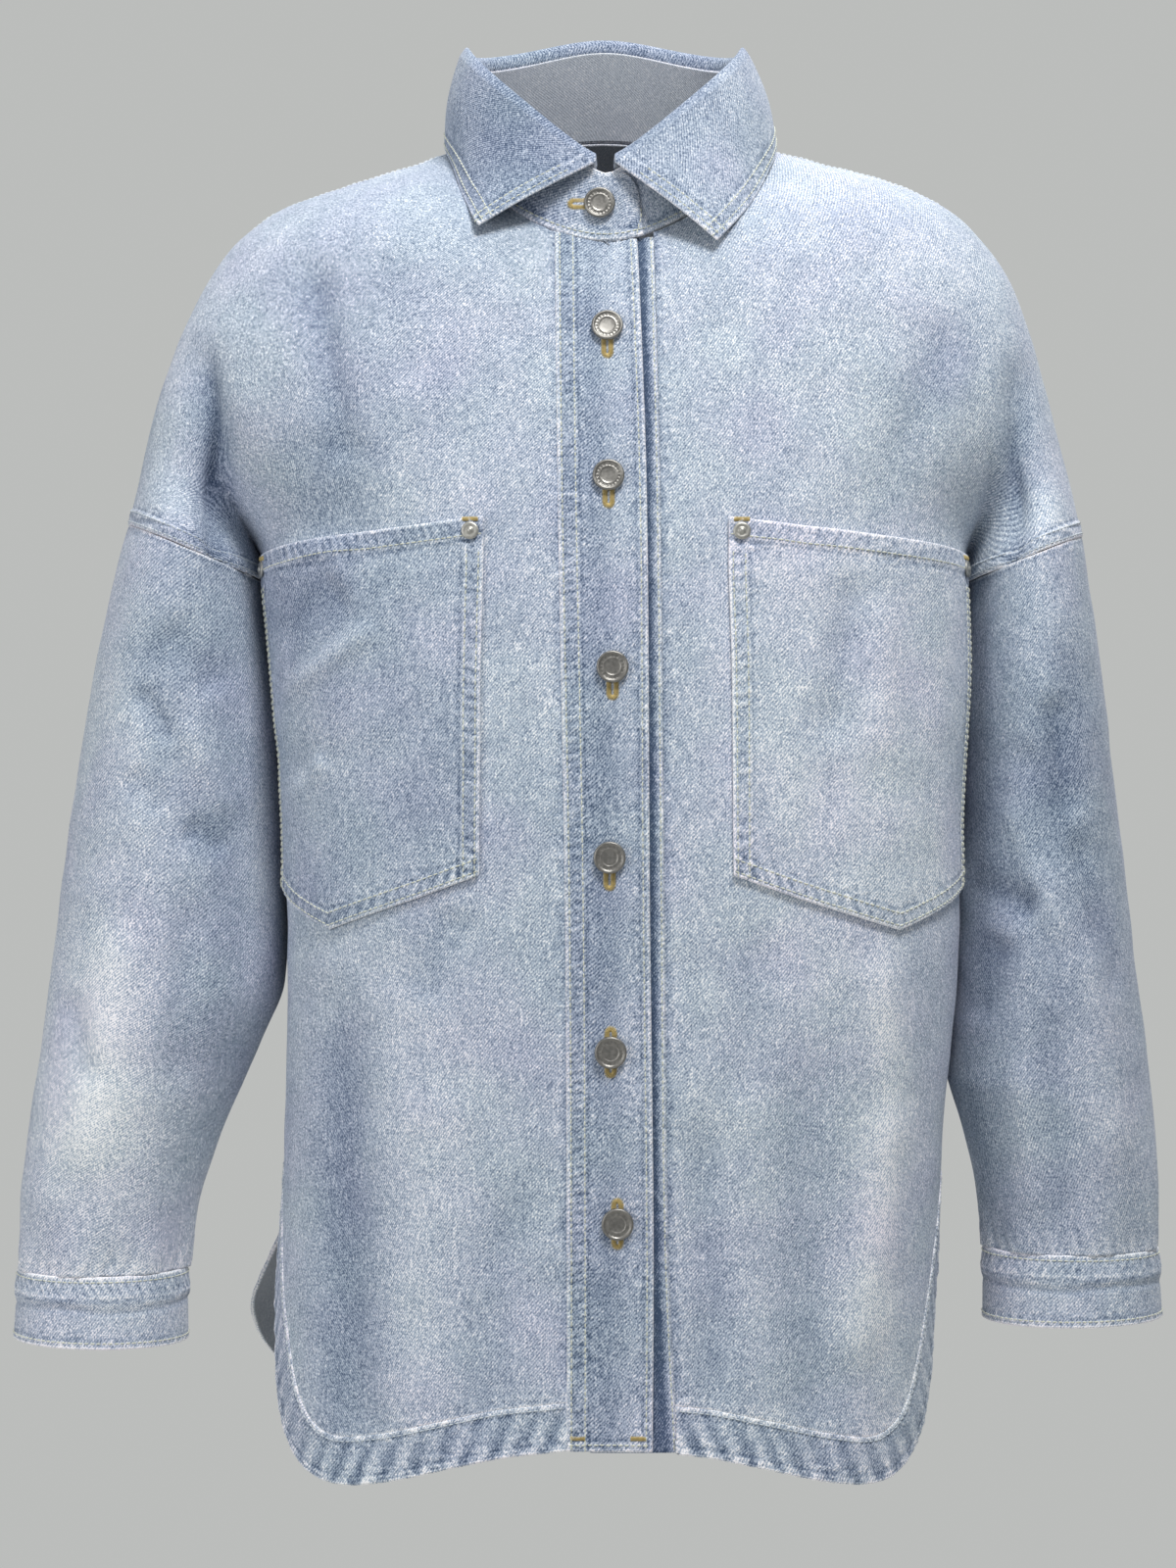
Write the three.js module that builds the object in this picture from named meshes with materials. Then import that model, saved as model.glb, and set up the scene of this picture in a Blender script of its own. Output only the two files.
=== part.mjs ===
// A loose denim shirt jacket in the shape it has when worn, hollow, with its neck, hem and cuffs open.
// Millimetres. +X is the wearer's left, -Y the front, +Z up. The origin is the middle of the neck's base.
import * as THREE from "three";

// Driving sizes
const DENIM = 1.5; // one layer of the cloth
const FACED = 2.2; // two layers: plackets, stand, cuffs, hem bands
const SEAM = 0.4; // gap between two pieces at a seam
const SEAT = 0.3; // gap between a piece and the panel it lies on
const SQUARENESS = 2.4; // exponent of the body's rounded section
const PIT_LEVEL = 244; // depth of the underarm below the origin
const PIT_HALF = 5; // half the width of the underarm point, front to back
const FOLD_TURN = 68; // where the underarm fold starts on the rounded sweep of the shoulders
const DROP_POWER = 1.5; // how late the rounded sweep drops from the shoulder seam to the front or back
const FACES_FRONT = 0.88; // share of the way to the underarm fold that still faces the front
const ARC = 2.9; // length round the body for each degree of turn
const VISIBLE = { denim: "#93a9c8", worn: "#a4b6d0", metal: "#77736f", rivet: "#a39c90" };

// From the neckline to the armhole: level 0 is the neckline and 1 the armhole. Each row runs from the middle
// of the front or back, at its own depth below the origin, to a station of the shoulder seam.
const YOKE = [
  {
    level: 0, split: 0, seam: 80, seamDownR: -4, seamDownL: -5, pitR: 79, pitL: 79, arm: 60,
    frontDown: 62, front: 76, backDown: -20, back: 60,
  },
  {
    level: 0.13, split: 0, seam: 121, seamDownR: 10, seamDownL: 4, pitR: 116, pitL: 118, arm: 70,
    frontDown: 75, front: 85, backDown: -4, back: 76,
  },
  {
    level: 0.26, split: 0, seam: 158, seamDownR: 22, seamDownL: 14, pitR: 150, pitL: 152, arm: 74,
    frontDown: 90, front: 92, backDown: 16, back: 88,
  },
  {
    level: 0.38, split: 0, seam: 189, seamDownR: 35, seamDownL: 28, pitR: 178, pitL: 182, arm: 78,
    frontDown: 107, front: 98, backDown: 38, back: 98,
  },
  {
    level: 0.49, split: 0, seam: 211, seamDownR: 53, seamDownL: 46, pitR: 196, pitL: 202, arm: 80,
    frontDown: 126, front: 103, backDown: 64, back: 106,
  },
  {
    level: 0.61, split: 0, seam: 232, seamDownR: 85, seamDownL: 77, pitR: 205, pitL: 213, arm: 82,
    frontDown: 150, front: 109, backDown: 100, back: 113,
  },
  {
    level: 0.75, split: 0.12, seam: 249, seamDownR: 130, seamDownL: 130, pitR: 208, pitL: 219, arm: 84,
    frontDown: 182, front: 115, backDown: 150, back: 118,
  },
  {
    level: 0.88, split: 0.4, seam: 261, seamDownR: 173, seamDownL: 178, pitR: 207, pitL: 220, arm: 84,
    frontDown: 214, front: 120, backDown: 200, back: 120,
  },
  {
    level: 1, split: 1, seam: 270, seamDownR: 211, seamDownL: 218, pitR: 206, pitL: 219, arm: 82,
    frontDown: 244, front: 123, backDown: 244, back: 120,
  },
];

// From the underarm to the hem: half widths to each side, depths to the front and back, and how far the arm
// presses the side in.
const TORSO = [
  { down: 244, halfR: 206, halfL: 219, front: 123, back: 120, pressR: 16, pressL: 17 },
  { down: 300, halfR: 197, halfL: 217, front: 126, back: 118, pressR: 13, pressL: 15 },
  { down: 358, halfR: 190, halfL: 213, front: 127, back: 117, pressR: 10, pressL: 13 },
  { down: 468, halfR: 186, halfL: 207, front: 128, back: 119, pressR: 8, pressL: 10 },
  { down: 578, halfR: 184, halfL: 192, front: 127, back: 122, pressR: 3, pressL: 3 },
  { down: 640, halfR: 186, halfL: 187, front: 127, back: 124, pressR: 0, pressL: 0 },
  { down: 740, halfR: 188, halfL: 184, front: 129, back: 127, pressR: 0, pressL: 0 },
];
const PRESS_SPREAD = 24; // degrees either side of the side seam

// The hem where the panels end and the bands begin, by the turn in degrees from the middle of the front or
// back.
const HEM = [
  { turn: 10, front: 686, back: 712 },
  { turn: 24, front: 690, back: 711 },
  { turn: 36, front: 697, back: 709 },
  { turn: 48, front: 706, back: 705 },
  { turn: 56, front: 709, back: 697 },
  { turn: 61, front: 702, back: 686 },
  { turn: 65, front: 686, back: 670 },
  { turn: 69, front: 655, back: 648 },
  { turn: 74, front: 612, back: 616 },
  { turn: 81, front: 580, back: 584 },
  { turn: 90, front: 562, back: 562 },
];

// The corner of the back at the wearer's right vent, which curls outwards: its middle, how far the curl spreads
// round the body and upwards, and how far it stands out.
const VENT_CURL = { turn: 74, down: 668, spreadTurn: 13, spreadUp: 44, out: 26 };

// The sleeves below the armhole: how far the outer and inner edges lie from the middle of the jacket, the
// depth from front to back, and the middle of that depth. An inner edge that the table has inside the body is
// moved out to rest beside it.
const SLEEVE_R = [
  { down: 272, outer: 287, inner: 180, depth: 168, middle: 0 },
  { down: 365, outer: 301, inner: 178, depth: 156, middle: -2 },
  { down: 470, outer: 315, inner: 182, depth: 140, middle: -5 },
  { down: 507, outer: 320, inner: 197, depth: 130, middle: -7 },
  { down: 553, outer: 327, inner: 217, depth: 114, middle: -9 },
  { down: 592, outer: 331, inner: 230, depth: 98, middle: -11 },
  { down: 631, outer: 332, inner: 237, depth: 84, middle: -12 },
];
const SLEEVE_L = [
  { down: 272, outer: 278, inner: 190, depth: 168, middle: 0 },
  { down: 365, outer: 290, inner: 188, depth: 156, middle: -2 },
  { down: 470, outer: 302, inner: 186, depth: 140, middle: -5 },
  { down: 507, outer: 307, inner: 190, depth: 130, middle: -7 },
  { down: 553, outer: 312, inner: 203, depth: 114, middle: -9 },
  { down: 585, outer: 314, inner: 211, depth: 98, middle: -11 },
  { down: 619, outer: 313, inner: 215, depth: 84, middle: -12 },
];
const SLEEVE_CLEAR = 2; // between a sleeve and the body it hangs beside
const ARMHOLE_REACH = 30; // how far below its first row a sleeve still takes the form of the armhole
const CUFF = { height: 40, outerShorter: 2, flare: 2 };

// Section of a cuff: its share of the height, and how far it stands out from the end of the sleeve.
const CUFF_ROWS = [
  { down: 0, out: 0 },
  { down: 0.32, out: 1.5 },
  { down: 0.42, out: 0.4 },
  { down: 1, out: 0.6 },
];
const GATHERS = { count: 7, depth: 1.3, reach: 46 }; // small waves where the sleeve is eased into its cuff

// One side of the jacket: which way it lies and which columns hold its sizes.
const RIGHT = {
  way: -1, letter: "R", seamDown: "seamDownR", pit: "pitR", half: "halfR", press: "pressR", sleeve: SLEEVE_R,
};
const LEFT = {
  way: 1, letter: "L", seamDown: "seamDownL", pit: "pitL", half: "halfL", press: "pressL", sleeve: SLEEVE_L,
};
const FRONT = { way: -1, down: "frontDown", deep: "front" };
const BACK = { way: 1, down: "backDown", deep: "back" };

// Largest folds, by the face they show on: the two ends of the fold's line, its half width and its depth. A
// negative depth stands out.
const FOLDS = [
  { view: "front", across: -226, down: 104, toAcross: -207, toDown: 236, half: 13, depth: 3 },
  { view: "front", across: 232, down: 112, toAcross: 220, toDown: 240, half: 13, depth: 3 },
  { view: "back", across: -222, down: 110, toAcross: -204, toDown: 240, half: 14, depth: 3.5 },
  { view: "back", across: 228, down: 116, toAcross: 216, toDown: 240, half: 14, depth: 3.5 },
  { view: "front", across: -158, down: 80, toAcross: -142, toDown: 176, half: 13, depth: 3 },
  { view: "front", across: 196, down: 96, toAcross: 150, toDown: 200, half: 14, depth: 2.5 },
  { view: "front", across: -142, down: 452, toAcross: -136, toDown: 706, half: 17, depth: 4.5 },
  { view: "front", across: -92, down: 500, toAcross: -100, toDown: 690, half: 20, depth: -3 },
  { view: "front", across: 52, down: 520, toAcross: 58, toDown: 690, half: 12, depth: 3 },
  { view: "front", across: 148, down: 540, toAcross: 150, toDown: 700, half: 16, depth: -4 },
  { view: "front", across: 104, down: 480, toAcross: 112, toDown: 700, half: 18, depth: 3 },
  { view: "front", across: -252, down: 262, toAcross: -226, toDown: 390, half: 15, depth: 4 },
  { view: "front", across: 262, down: 268, toAcross: 238, toDown: 400, half: 15, depth: 3.5 },
  { view: "back", across: -120, down: 300, toAcross: -128, toDown: 690, half: 22, depth: 5 },
  { view: "back", across: 10, down: 240, toAcross: -6, toDown: 690, half: 24, depth: 4 },
  { view: "back", across: 126, down: 320, toAcross: 136, toDown: 690, half: 22, depth: 5 },
  { view: "back", across: -236, down: 300, toAcross: -272, toDown: 420, half: 15, depth: 3.5 },
  { view: "back", across: 232, down: 290, toAcross: 262, toDown: 420, half: 15, depth: 3.5 },
];

const FOLD_TAPER = { rate: 4, last: 1.15 }; // how fast a fold fades at its ends, and where it has faded out
const FOLD_FACING = { rate: 1.6, from: 0.3 }; // how a fold fades where the cloth turns away from its face

// The two edges of the front opening, by their distance from the middle: the seam of the top placket on the
// wearer's right, its free edge, and the seam of the under placket on the wearer's left.
const OPENING = [
  { down: 55, topSeam: -27, freeEdge: 16.5, underSeam: 26 },
  { down: 200, topSeam: -25, freeEdge: 21, underSeam: 29 },
  { down: 420, topSeam: -21, freeEdge: 22.5, underSeam: 31 },
  { down: 600, topSeam: -20, freeEdge: 24.5, underSeam: 33 },
  { down: 712, topSeam: -20, freeEdge: 24, underSeam: 38 },
];
const PLACKET = {
  proud: 1.2, bottom: 711, underBottom: 712, underWidth: 46, gap: 0.5, rows: 13, stitched: 14,
};

// The collar's stand: how far its ends pass the middle of the front, how far one lies over the other, how far
// its top edge stays below the roll, how much it leans in, its gap over the neckline and the height of its
// ends.
const STAND_HEIGHT = 38; // at the middle of the front
const STAND = { overlap: 20, lap: 1.7, top: 9, lean: 0.95, seat: 1.4, endHeight: 12 };

// The falling collar, from the front to the middle of the back: the turn of its roll line, and the turn,
// reach and depth of its outer edge.
const FALL = [
  { along: 0, rollTurn: 4, turnR: 38, turnL: 33, reachR: 112, reachL: 111, downR: 54, downL: 63 },
  { along: 0.12, rollTurn: 22, turnR: 49, turnL: 45, reachR: 102, reachL: 108, downR: 37, downL: 44 },
  { along: 0.28, rollTurn: 50, turnR: 68, turnL: 66, reachR: 92, reachL: 101, downR: 12, downL: 14 },
  { along: 0.45, rollTurn: 90, turnR: 92, turnL: 92, reachR: 91, reachL: 97, downR: -6, downL: -10 },
  { along: 0.7, rollTurn: 132, turnR: 134, turnL: 134, reachR: 91, reachL: 94, downR: -17, downL: -18 },
  { along: 1, rollTurn: 180, turnR: 180, turnL: 180, reachR: 86, reachL: 86, downR: -22, downL: -22 },
];
const ROLL = { frontDown: 15, sideRise: 76, backRise: 20, power: 1.4 };
const COLLAR_SWELL = 3; // how far the fall stands out between roll and edge

// Section of the collar from its foot inside the stand, over the roll, to where the fall begins.
const COLLAR_ROLL = [
  { out: -1, below: STAND.top - STAND.seat },
  { out: -0.4, below: 3 },
  { out: 2.6, below: 0 },
  { out: 6.5, below: 5 },
];

// Patch pockets, the same on both sides, by turn round the body and depth below the origin.
const POCKET = { innerTurn: 28.4, outerTurn: 76, topInner: 216, topOuter: 232, seat: 0.8, hemProud: 0.8 };
const POCKET_FOOT = { inner: 406, point: 436, pointAt: 0.6, outer: 414 };

// Hem bands: their width, the width they narrow to at the side seams, and the turns where that begins and
// ends.
const HEM_BAND = { width: 25, ends: 5, narrowFrom: 68, lastTurn: 86 };

// Buttons: a short shank under a shallow cup with a raised rim.
const BUTTON = { radius: 8.6, height: 3.4, shank: 3.2, shankHeight: 0.9, rim: 1.4, dish: 0.6, sides: 16 };
const BUTTONS = [
  { name: "button_1", across: -3.2, down: 41 },
  { name: "button_2", across: 0.9, down: 112 },
  { name: "button_3", across: 1.4, down: 194 },
  { name: "button_4", across: 3.5, down: 296 },
  { name: "button_5", across: 1.9, down: 397 },
  { name: "button_6", across: 2.5, down: 500 },
  { name: "button_7", across: 6.1, down: 591 },
];
const RIVET = { radius: 4.8, height: 1.9, tip: 1.6, flange: 1.1, sides: 12, insetTurn: 2.4, below: 7.5 };
const METAL = { roughness: 0.42, metalness: 0.85 };

const radians = (degrees) => (degrees * Math.PI) / 180;
const mix = (from, to, share) => from + (to - from) * share;
const ease = (share) => share * share * (3 - 2 * share);
const limit = (value, low, high) => Math.min(high, Math.max(low, value));

// A column of a table at any place between its rows, on a smooth curve through them.
function read(table, key, at, column) {
  let i = 0;
  while (i < table.length - 2 && table[i + 1][key] < at) i += 1;
  const slope = (k) => {
    const before = table[Math.max(k - 1, 0)];
    const after = table[Math.min(k + 1, table.length - 1)];
    return (after[column] - before[column]) / (after[key] - before[key]);
  };
  const span = table[i + 1][key] - table[i][key];
  const t = limit((at - table[i][key]) / span, 0, 1);
  const rise = ease(t);
  const leave = t * (1 - t) * (1 - t);
  const arrive = t * t * (t - 1);
  const bend = span * (leave * slope(i) + arrive * slope(i + 1));
  return mix(table[i][column], table[i + 1][column], rise) + bend;
}

// Distance from the middle line to the body's rounded section at a turn from the front or back.
function sectionReach(half, deep, turn, press) {
  const a = Math.abs(Math.sin(radians(turn)) / half) ** SQUARENESS;
  const b = Math.abs(Math.cos(radians(turn)) / deep) ** SQUARENESS;
  const pressed = press * Math.exp(-(((turn - 90) / PRESS_SPREAD) ** 2));
  return (a + b) ** (-1 / SQUARENESS) - pressed;
}

// How far the back's corner at the vent curls out: a bell round the body that fades upwards.
function ventCurl(turn, down) {
  const across = (turn - VENT_CURL.turn) / VENT_CURL.spreadTurn;
  const above = Math.min(down - VENT_CURL.down, 0) / VENT_CURL.spreadUp;
  return VENT_CURL.out * Math.exp(-(across ** 2) - above ** 2);
}

// A point of the body below the underarm, by turn from the middle of the front or back and by depth.
function torsoPoint(side, face, turn, down) {
  const half = read(TORSO, "down", down, side.half);
  const deep = read(TORSO, "down", down, face.deep);
  const press = read(TORSO, "down", down, side.press);
  const curl = side === RIGHT && face === BACK ? ventCurl(turn, down) : 0;
  const reach = sectionReach(half, deep, Math.abs(turn), press) + curl;
  return new THREE.Vector3(
    side.way * reach * Math.sin(radians(turn)),
    face.way * (reach * Math.cos(radians(turn)) + SEAM / 2),
    -down,
  );
}

// A point of the body between neckline and armhole. across runs 0 to 1 from the middle to the underarm fold,
// and on to 2 at the shoulder seam. High up it is one rounded sweep; lower down it parts into body and arm.
function yokePoint(side, face, startTurn, across, level) {
  const get = (column) => read(YOKE, "level", level, column);
  const deep = get(face.deep);
  const startDown = get(face.down);
  const seam = get("seam");
  const seamDown = get(side.seamDown);
  const turn = across < 1 ? mix(startTurn, FOLD_TURN, across) : mix(FOLD_TURN, 90, across - 1);
  const swept = Math.max(Math.cos(radians(turn)), 0);
  const reach = sectionReach(seam, deep, turn, 0);
  const whole = new THREE.Vector3(
    reach * Math.sin(radians(turn)),
    reach * swept,
    -mix(seamDown, startDown, swept ** DROP_POWER),
  );
  const share = ease(limit(get("split"), 0, 1));
  if (share === 0) return whole.set(side.way * whole.x, face.way * (whole.y + SEAM / 2), whole.z);
  const pit = get(side.pit);
  const press = TORSO[0][side.press];
  const arm = get("arm");
  const pitTurn = 90 - (PIT_HALF / (pit - press)) * (180 / Math.PI);
  const parted = new THREE.Vector3();
  if (across <= 1) {
    const bodyTurn = mix(startTurn, pitTurn, across);
    const bodyReach = sectionReach(pit, deep, bodyTurn, press);
    parted.set(bodyReach * Math.sin(radians(bodyTurn)), bodyReach * Math.cos(radians(bodyTurn)), -startDown);
  } else {
    const corner = sectionReach(pit, deep, pitTurn, press);
    const cornerX = corner * Math.sin(radians(pitTurn));
    const around = mix(Math.asin(PIT_HALF / arm), Math.PI, across - 1);
    const rise = (1 - Math.cos(around)) / 2;
    parted.set(mix(cornerX, seam, rise), arm * Math.sin(around), -mix(startDown, seamDown, rise));
  }
  whole.lerp(parted, share);
  return whole.set(side.way * whole.x, face.way * (whole.y + SEAM / 2), whole.z);
}

// The value between low and high at which a rising measure reaches a target.
function solve(low, high, target, measure) {
  let [from, to] = [low, high];
  for (let step = 0; step < 20; step += 1) {
    const middle = (from + to) / 2;
    if (measure(middle) < target) from = middle;
    else to = middle;
  }
  return (from + to) / 2;
}

// A point of the front, by its distance across from the middle and its depth below the origin.
function frontPoint(x, down) {
  const side = x < 0 ? RIGHT : LEFT;
  if (down >= PIT_LEVEL) {
    const turn = solve(0, 75, Math.abs(x), (at) => Math.abs(torsoPoint(side, FRONT, at, down).x));
    return torsoPoint(side, FRONT, turn, down);
  }
  const atDepth = (across) => {
    const level = solve(0, 1, down, (at) => -yokePoint(side, FRONT, 0, across, at).z);
    return yokePoint(side, FRONT, 0, across, level);
  };
  return atDepth(solve(0, FACES_FRONT, Math.abs(x), (across) => Math.abs(atDepth(across).x)));
}

// A point of the neckline, all the way round by turn from the middle of the front towards the wearer's right.
function neckPoint(turn) {
  const round = THREE.MathUtils.euclideanModulo(turn, 360);
  const side = round < 180 ? RIGHT : LEFT;
  const fromFront = round < 180 ? round : 360 - round;
  const face = fromFront <= 90 ? FRONT : BACK;
  const own = fromFront <= 90 ? fromFront : 180 - fromFront;
  const across = own < FOLD_TURN ? own / FOLD_TURN : 1 + (own - FOLD_TURN) / (90 - FOLD_TURN);
  return yokePoint(side, face, 0, across, 0);
}

// Unit normals of a grid of points, pointing away from the piece's inside when hand is right for it.
function gridNormals(grid, hand, wrap) {
  const rows = grid.length;
  const columns = grid[0].length;
  const normals = grid.map((row) => row.map((point) => (point ? new THREE.Vector3() : null)));
  const down = new THREE.Vector3();
  const along = new THREE.Vector3();
  for (let j = 0; j < rows - 1; j += 1)
    for (let i = 0; i < (wrap ? columns : columns - 1); i += 1) {
      const k = (i + 1) % columns;
      const corners = [[j, i], [j + 1, i], [j + 1, k], [j, k]];
      if (corners.some(([r, c]) => !grid[r][c])) continue;
      down.subVectors(grid[j + 1][k], grid[j][i]);
      along.subVectors(grid[j][k], grid[j + 1][i]);
      const face = down.clone().cross(along).multiplyScalar(hand);
      corners.forEach(([r, c]) => normals[r][c].add(face));
    }
  normals.forEach((row) => row.forEach((normal) => normal && normal.normalize()));
  return normals;
}

// How far the folds push a point in along its normal.
function foldDepth(point, normal) {
  const facing = { front: -normal.y, back: normal.y };
  let depth = 0;
  for (const fold of FOLDS) {
    const shows = limit(facing[fold.view] * FOLD_FACING.rate - FOLD_FACING.from, 0, 1);
    if (shows === 0) continue;
    const lineX = fold.toAcross - fold.across;
    const lineDown = fold.toDown - fold.down;
    const length = Math.hypot(lineX, lineDown);
    const x = point.x - fold.across;
    const down = -point.z - fold.down;
    const along = (x * lineX + down * lineDown) / (length * length);
    const off = (x * lineDown - down * lineX) / length;
    const begins = ease(limit(along * FOLD_TAPER.rate, 0, 1));
    const finishes = ease(limit((FOLD_TAPER.last - along) * FOLD_TAPER.rate, 0, 1));
    depth += fold.depth * shows * begins * finishes * Math.exp(-((off / fold.half) ** 2));
  }
  return depth;
}

const fabric = new Map();
function cloth(color) {
  if (!fabric.has(color)) fabric.set(color, { color, roughness: 0.9, metalness: 0 });
  return new THREE.MeshStandardMaterial(fabric.get(color));
}

// A closed wall of cloth: the outer grid, the same grid moved in by the thickness, and a rim on open edges.
// A hand of 1 suits rows that run down and columns that run to the viewer's right, seen from outside.
function wall(name, outer, options) {
  const { thick = DENIM, hand = 1, wrap = false, folded = false, color = VISIBLE.denim, lift = 0 } = options;
  const squareTo = options.squareTo ?? (() => "");
  let grid = outer;
  if (folded) {
    const first = gridNormals(outer, hand, wrap);
    grid = outer.map((row, j) => row.map((point, i) => {
      if (!point) return null;
      return point.clone().addScaledVector(first[j][i], -foldDepth(point, first[j][i]));
    }));
  }
  const normals = gridNormals(grid, hand, wrap);
  const columns = grid[0].length;
  const index = grid.map((row) => row.map(() => -1));
  const outerPoints = [];
  const innerPoints = [];
  grid.forEach((row, j) => row.forEach((point, i) => {
    if (!point) return;
    const normal = normals[j][i].clone();
    for (const axis of squareTo(j, i)) normal[axis] = 0;
    normal.normalize();
    const extra = options.extra ? options.extra(j, i) : 0;
    index[j][i] = outerPoints.length;
    outerPoints.push(point.clone().addScaledVector(normal, lift + extra));
    innerPoints.push(point.clone().addScaledVector(normal, lift - thick));
  }));
  const count = outerPoints.length;
  const faces = [];
  const edges = new Set();
  const addFace = (a, b, c) => {
    const turned = hand > 0 ? [a, b, c] : [a, c, b];
    faces.push(turned);
    turned.forEach((from, k) => edges.add(`${from},${turned[(k + 1) % 3]}`));
  };
  for (let j = 0; j < grid.length - 1; j += 1)
    for (let i = 0; i < (wrap ? columns : columns - 1); i += 1) {
      const k = (i + 1) % columns;
      const [a, b, c, d] = [index[j][i], index[j + 1][i], index[j + 1][k], index[j][k]];
      if (Math.min(a, b, c, d) < 0) continue;
      addFace(a, b, c);
      addFace(a, c, d);
    }
  const all = faces.flatMap(([a, b, c]) => [a, b, c, a + count, c + count, b + count]);
  for (const edge of edges) {
    const [from, to] = edge.split(",").map(Number);
    if (edges.has(`${to},${from}`)) continue;
    all.push(to, from, from + count, to, from + count, to + count);
  }
  const geometry = new THREE.BufferGeometry().setFromPoints([...outerPoints, ...innerPoints]);
  geometry.setIndex(all);
  geometry.computeVertexNormals();
  const mesh = new THREE.Mesh(geometry, cloth(color));
  mesh.name = name;
  return mesh;
}

// Evenly spaced values from one number to another.
function steps(count, from = 0, to = 1) {
  return Array.from({ length: count + 1 }, (_, i) => mix(from, to, i / count));
}

// Turns of the grid's columns, closer together at the curved corner of the hem.
const FRONT_TURNS = [20, 29, 38, 46, 53, 58.5, 63, 66.5, 70, 75, 82, 90];
const BACK_TURNS = [10, ...FRONT_TURNS];
const YOKE_LEVELS = [0, 0.13, 0.26, 0.38, 0.5, 0.62, 0.73, 0.83, 0.92, 1];
const TORSO_ROWS = 11;
const ARM_COLUMNS = 7;

// One half of a front or the back: rows from the neckline to the hem, columns from the middle to the underarm
// fold, and on over the arm to the shoulder seam down to the armhole.
function halfPanel(side, face, turns, edgeTurnAt) {
  const rows = YOKE_LEVELS.map((level) => {
    const start = edgeTurnAt(read(YOKE, "level", level, face.down), level);
    const body = turns.map((turn) => yokePoint(side, face, start, turn / 90, level));
    const first = yokePoint(side, face, start, 0, level);
    const overArm = steps(ARM_COLUMNS, 1, 2).slice(1);
    const arm = overArm.map((across) => yokePoint(side, face, start, across, level));
    return [first, ...body, ...arm];
  });
  const blank = Array(ARM_COLUMNS).fill(null);
  for (const share of steps(TORSO_ROWS).slice(1)) {
    const line = (turn) => mix(PIT_LEVEL, read(HEM, "turn", turn, face.deep), share);
    const startDown = line(HEM[0].turn);
    const start = edgeTurnAt(startDown, 1);
    const body = turns.map((turn) => {
      const placed = turn >= 89 ? 90 : mix(start, 90, turn / 90);
      return torsoPoint(side, face, placed, line(placed));
    });
    rows.push([torsoPoint(side, face, start, startDown), ...body, ...blank]);
  }
  return rows;
}

// The turn at which a front panel ends beside its placket.
function openingTurn(column) {
  return (down, level) => {
    const lower = down > PIT_LEVEL;
    const deep = lower ? read(TORSO, "down", down, "front") : read(YOKE, "level", level, "front");
    const half = lower ? read(TORSO, "down", down, "halfR") : read(YOKE, "level", level, "seam");
    const edge = Math.abs(read(OPENING, "down", down, column)) + SEAM;
    return solve(0, 45, edge, (turn) => sectionReach(half, deep, turn, 0) * Math.sin(radians(turn)));
  };
}

// Edges that meet another piece end square to it: y at the shoulder and side seams, z at the armholes.
function seamAxes(middleColumn, bodyColumns) {
  const lastYoke = YOKE_LEVELS.length - 1;
  return (j, i) => {
    const column = Math.abs(i - middleColumn);
    if (column === 0 && middleColumn === 0) return "x";
    if (j < lastYoke) return column === bodyColumns + ARM_COLUMNS ? "y" : "";
    if (j > lastYoke) return column === bodyColumns ? "y" : "";
    return column > bodyColumns ? "z" : "";
  };
}

function frontPanel(name, side, column) {
  const grid = halfPanel(side, FRONT, FRONT_TURNS, openingTurn(column));
  return wall(name, grid, { hand: side.way, folded: true, squareTo: seamAxes(0, FRONT_TURNS.length) });
}

function backPanel() {
  const middle = () => 0;
  const right = halfPanel(RIGHT, BACK, BACK_TURNS, middle);
  const left = halfPanel(LEFT, BACK, BACK_TURNS, middle);
  const grid = right.map((row, j) => [...row.slice(1).reverse(), left[j][0], ...left[j].slice(1)]);
  const middleColumn = BACK_TURNS.length + ARM_COLUMNS;
  return wall("back", grid, { hand: -1, folded: true, squareTo: seamAxes(middleColumn, BACK_TURNS.length) });
}

const parts = new THREE.Group();
parts.add(frontPanel("front_right", RIGHT, "topSeam"));
parts.add(frontPanel("front_left", LEFT, "underSeam"));
parts.add(backPanel());

// Sleeves and cuffs
const AROUND = 24;
const SLEEVE_ROWS = 12;

// A point of a sleeve: around runs once round from the side that faces the body by way of the front.
function sleeveRing(side, row, gather) {
  return steps(AROUND).slice(0, AROUND).map((share) => {
    const around = share * Math.PI * 2;
    const wave = 1 + (gather * Math.cos(around * GATHERS.count)) / (row.depth / 2);
    const rise = (1 - Math.cos(around) * wave) / 2;
    return new THREE.Vector3(
      side.way * mix(row.inner, row.outer, rise),
      row.middle - (row.depth / 2) * Math.sin(around) * wave,
      -mix(row.innerDown, row.outerDown, rise),
    );
  });
}

const ends = (last) => (j) => (j === 0 || j === last ? "z" : "");

function bodySide(side, down) {
  return torsoPoint(side, FRONT, 90, down).x * side.way;
}

function sleeveRow(side, down) {
  const table = side.sleeve;
  const row = { innerDown: down, outerDown: down };
  for (const column of ["outer", "inner", "depth", "middle"]) row[column] = read(table, "down", down, column);
  row.inner = Math.max(row.inner, bodySide(side, down) + SLEEVE_CLEAR);
  return row;
}

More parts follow.
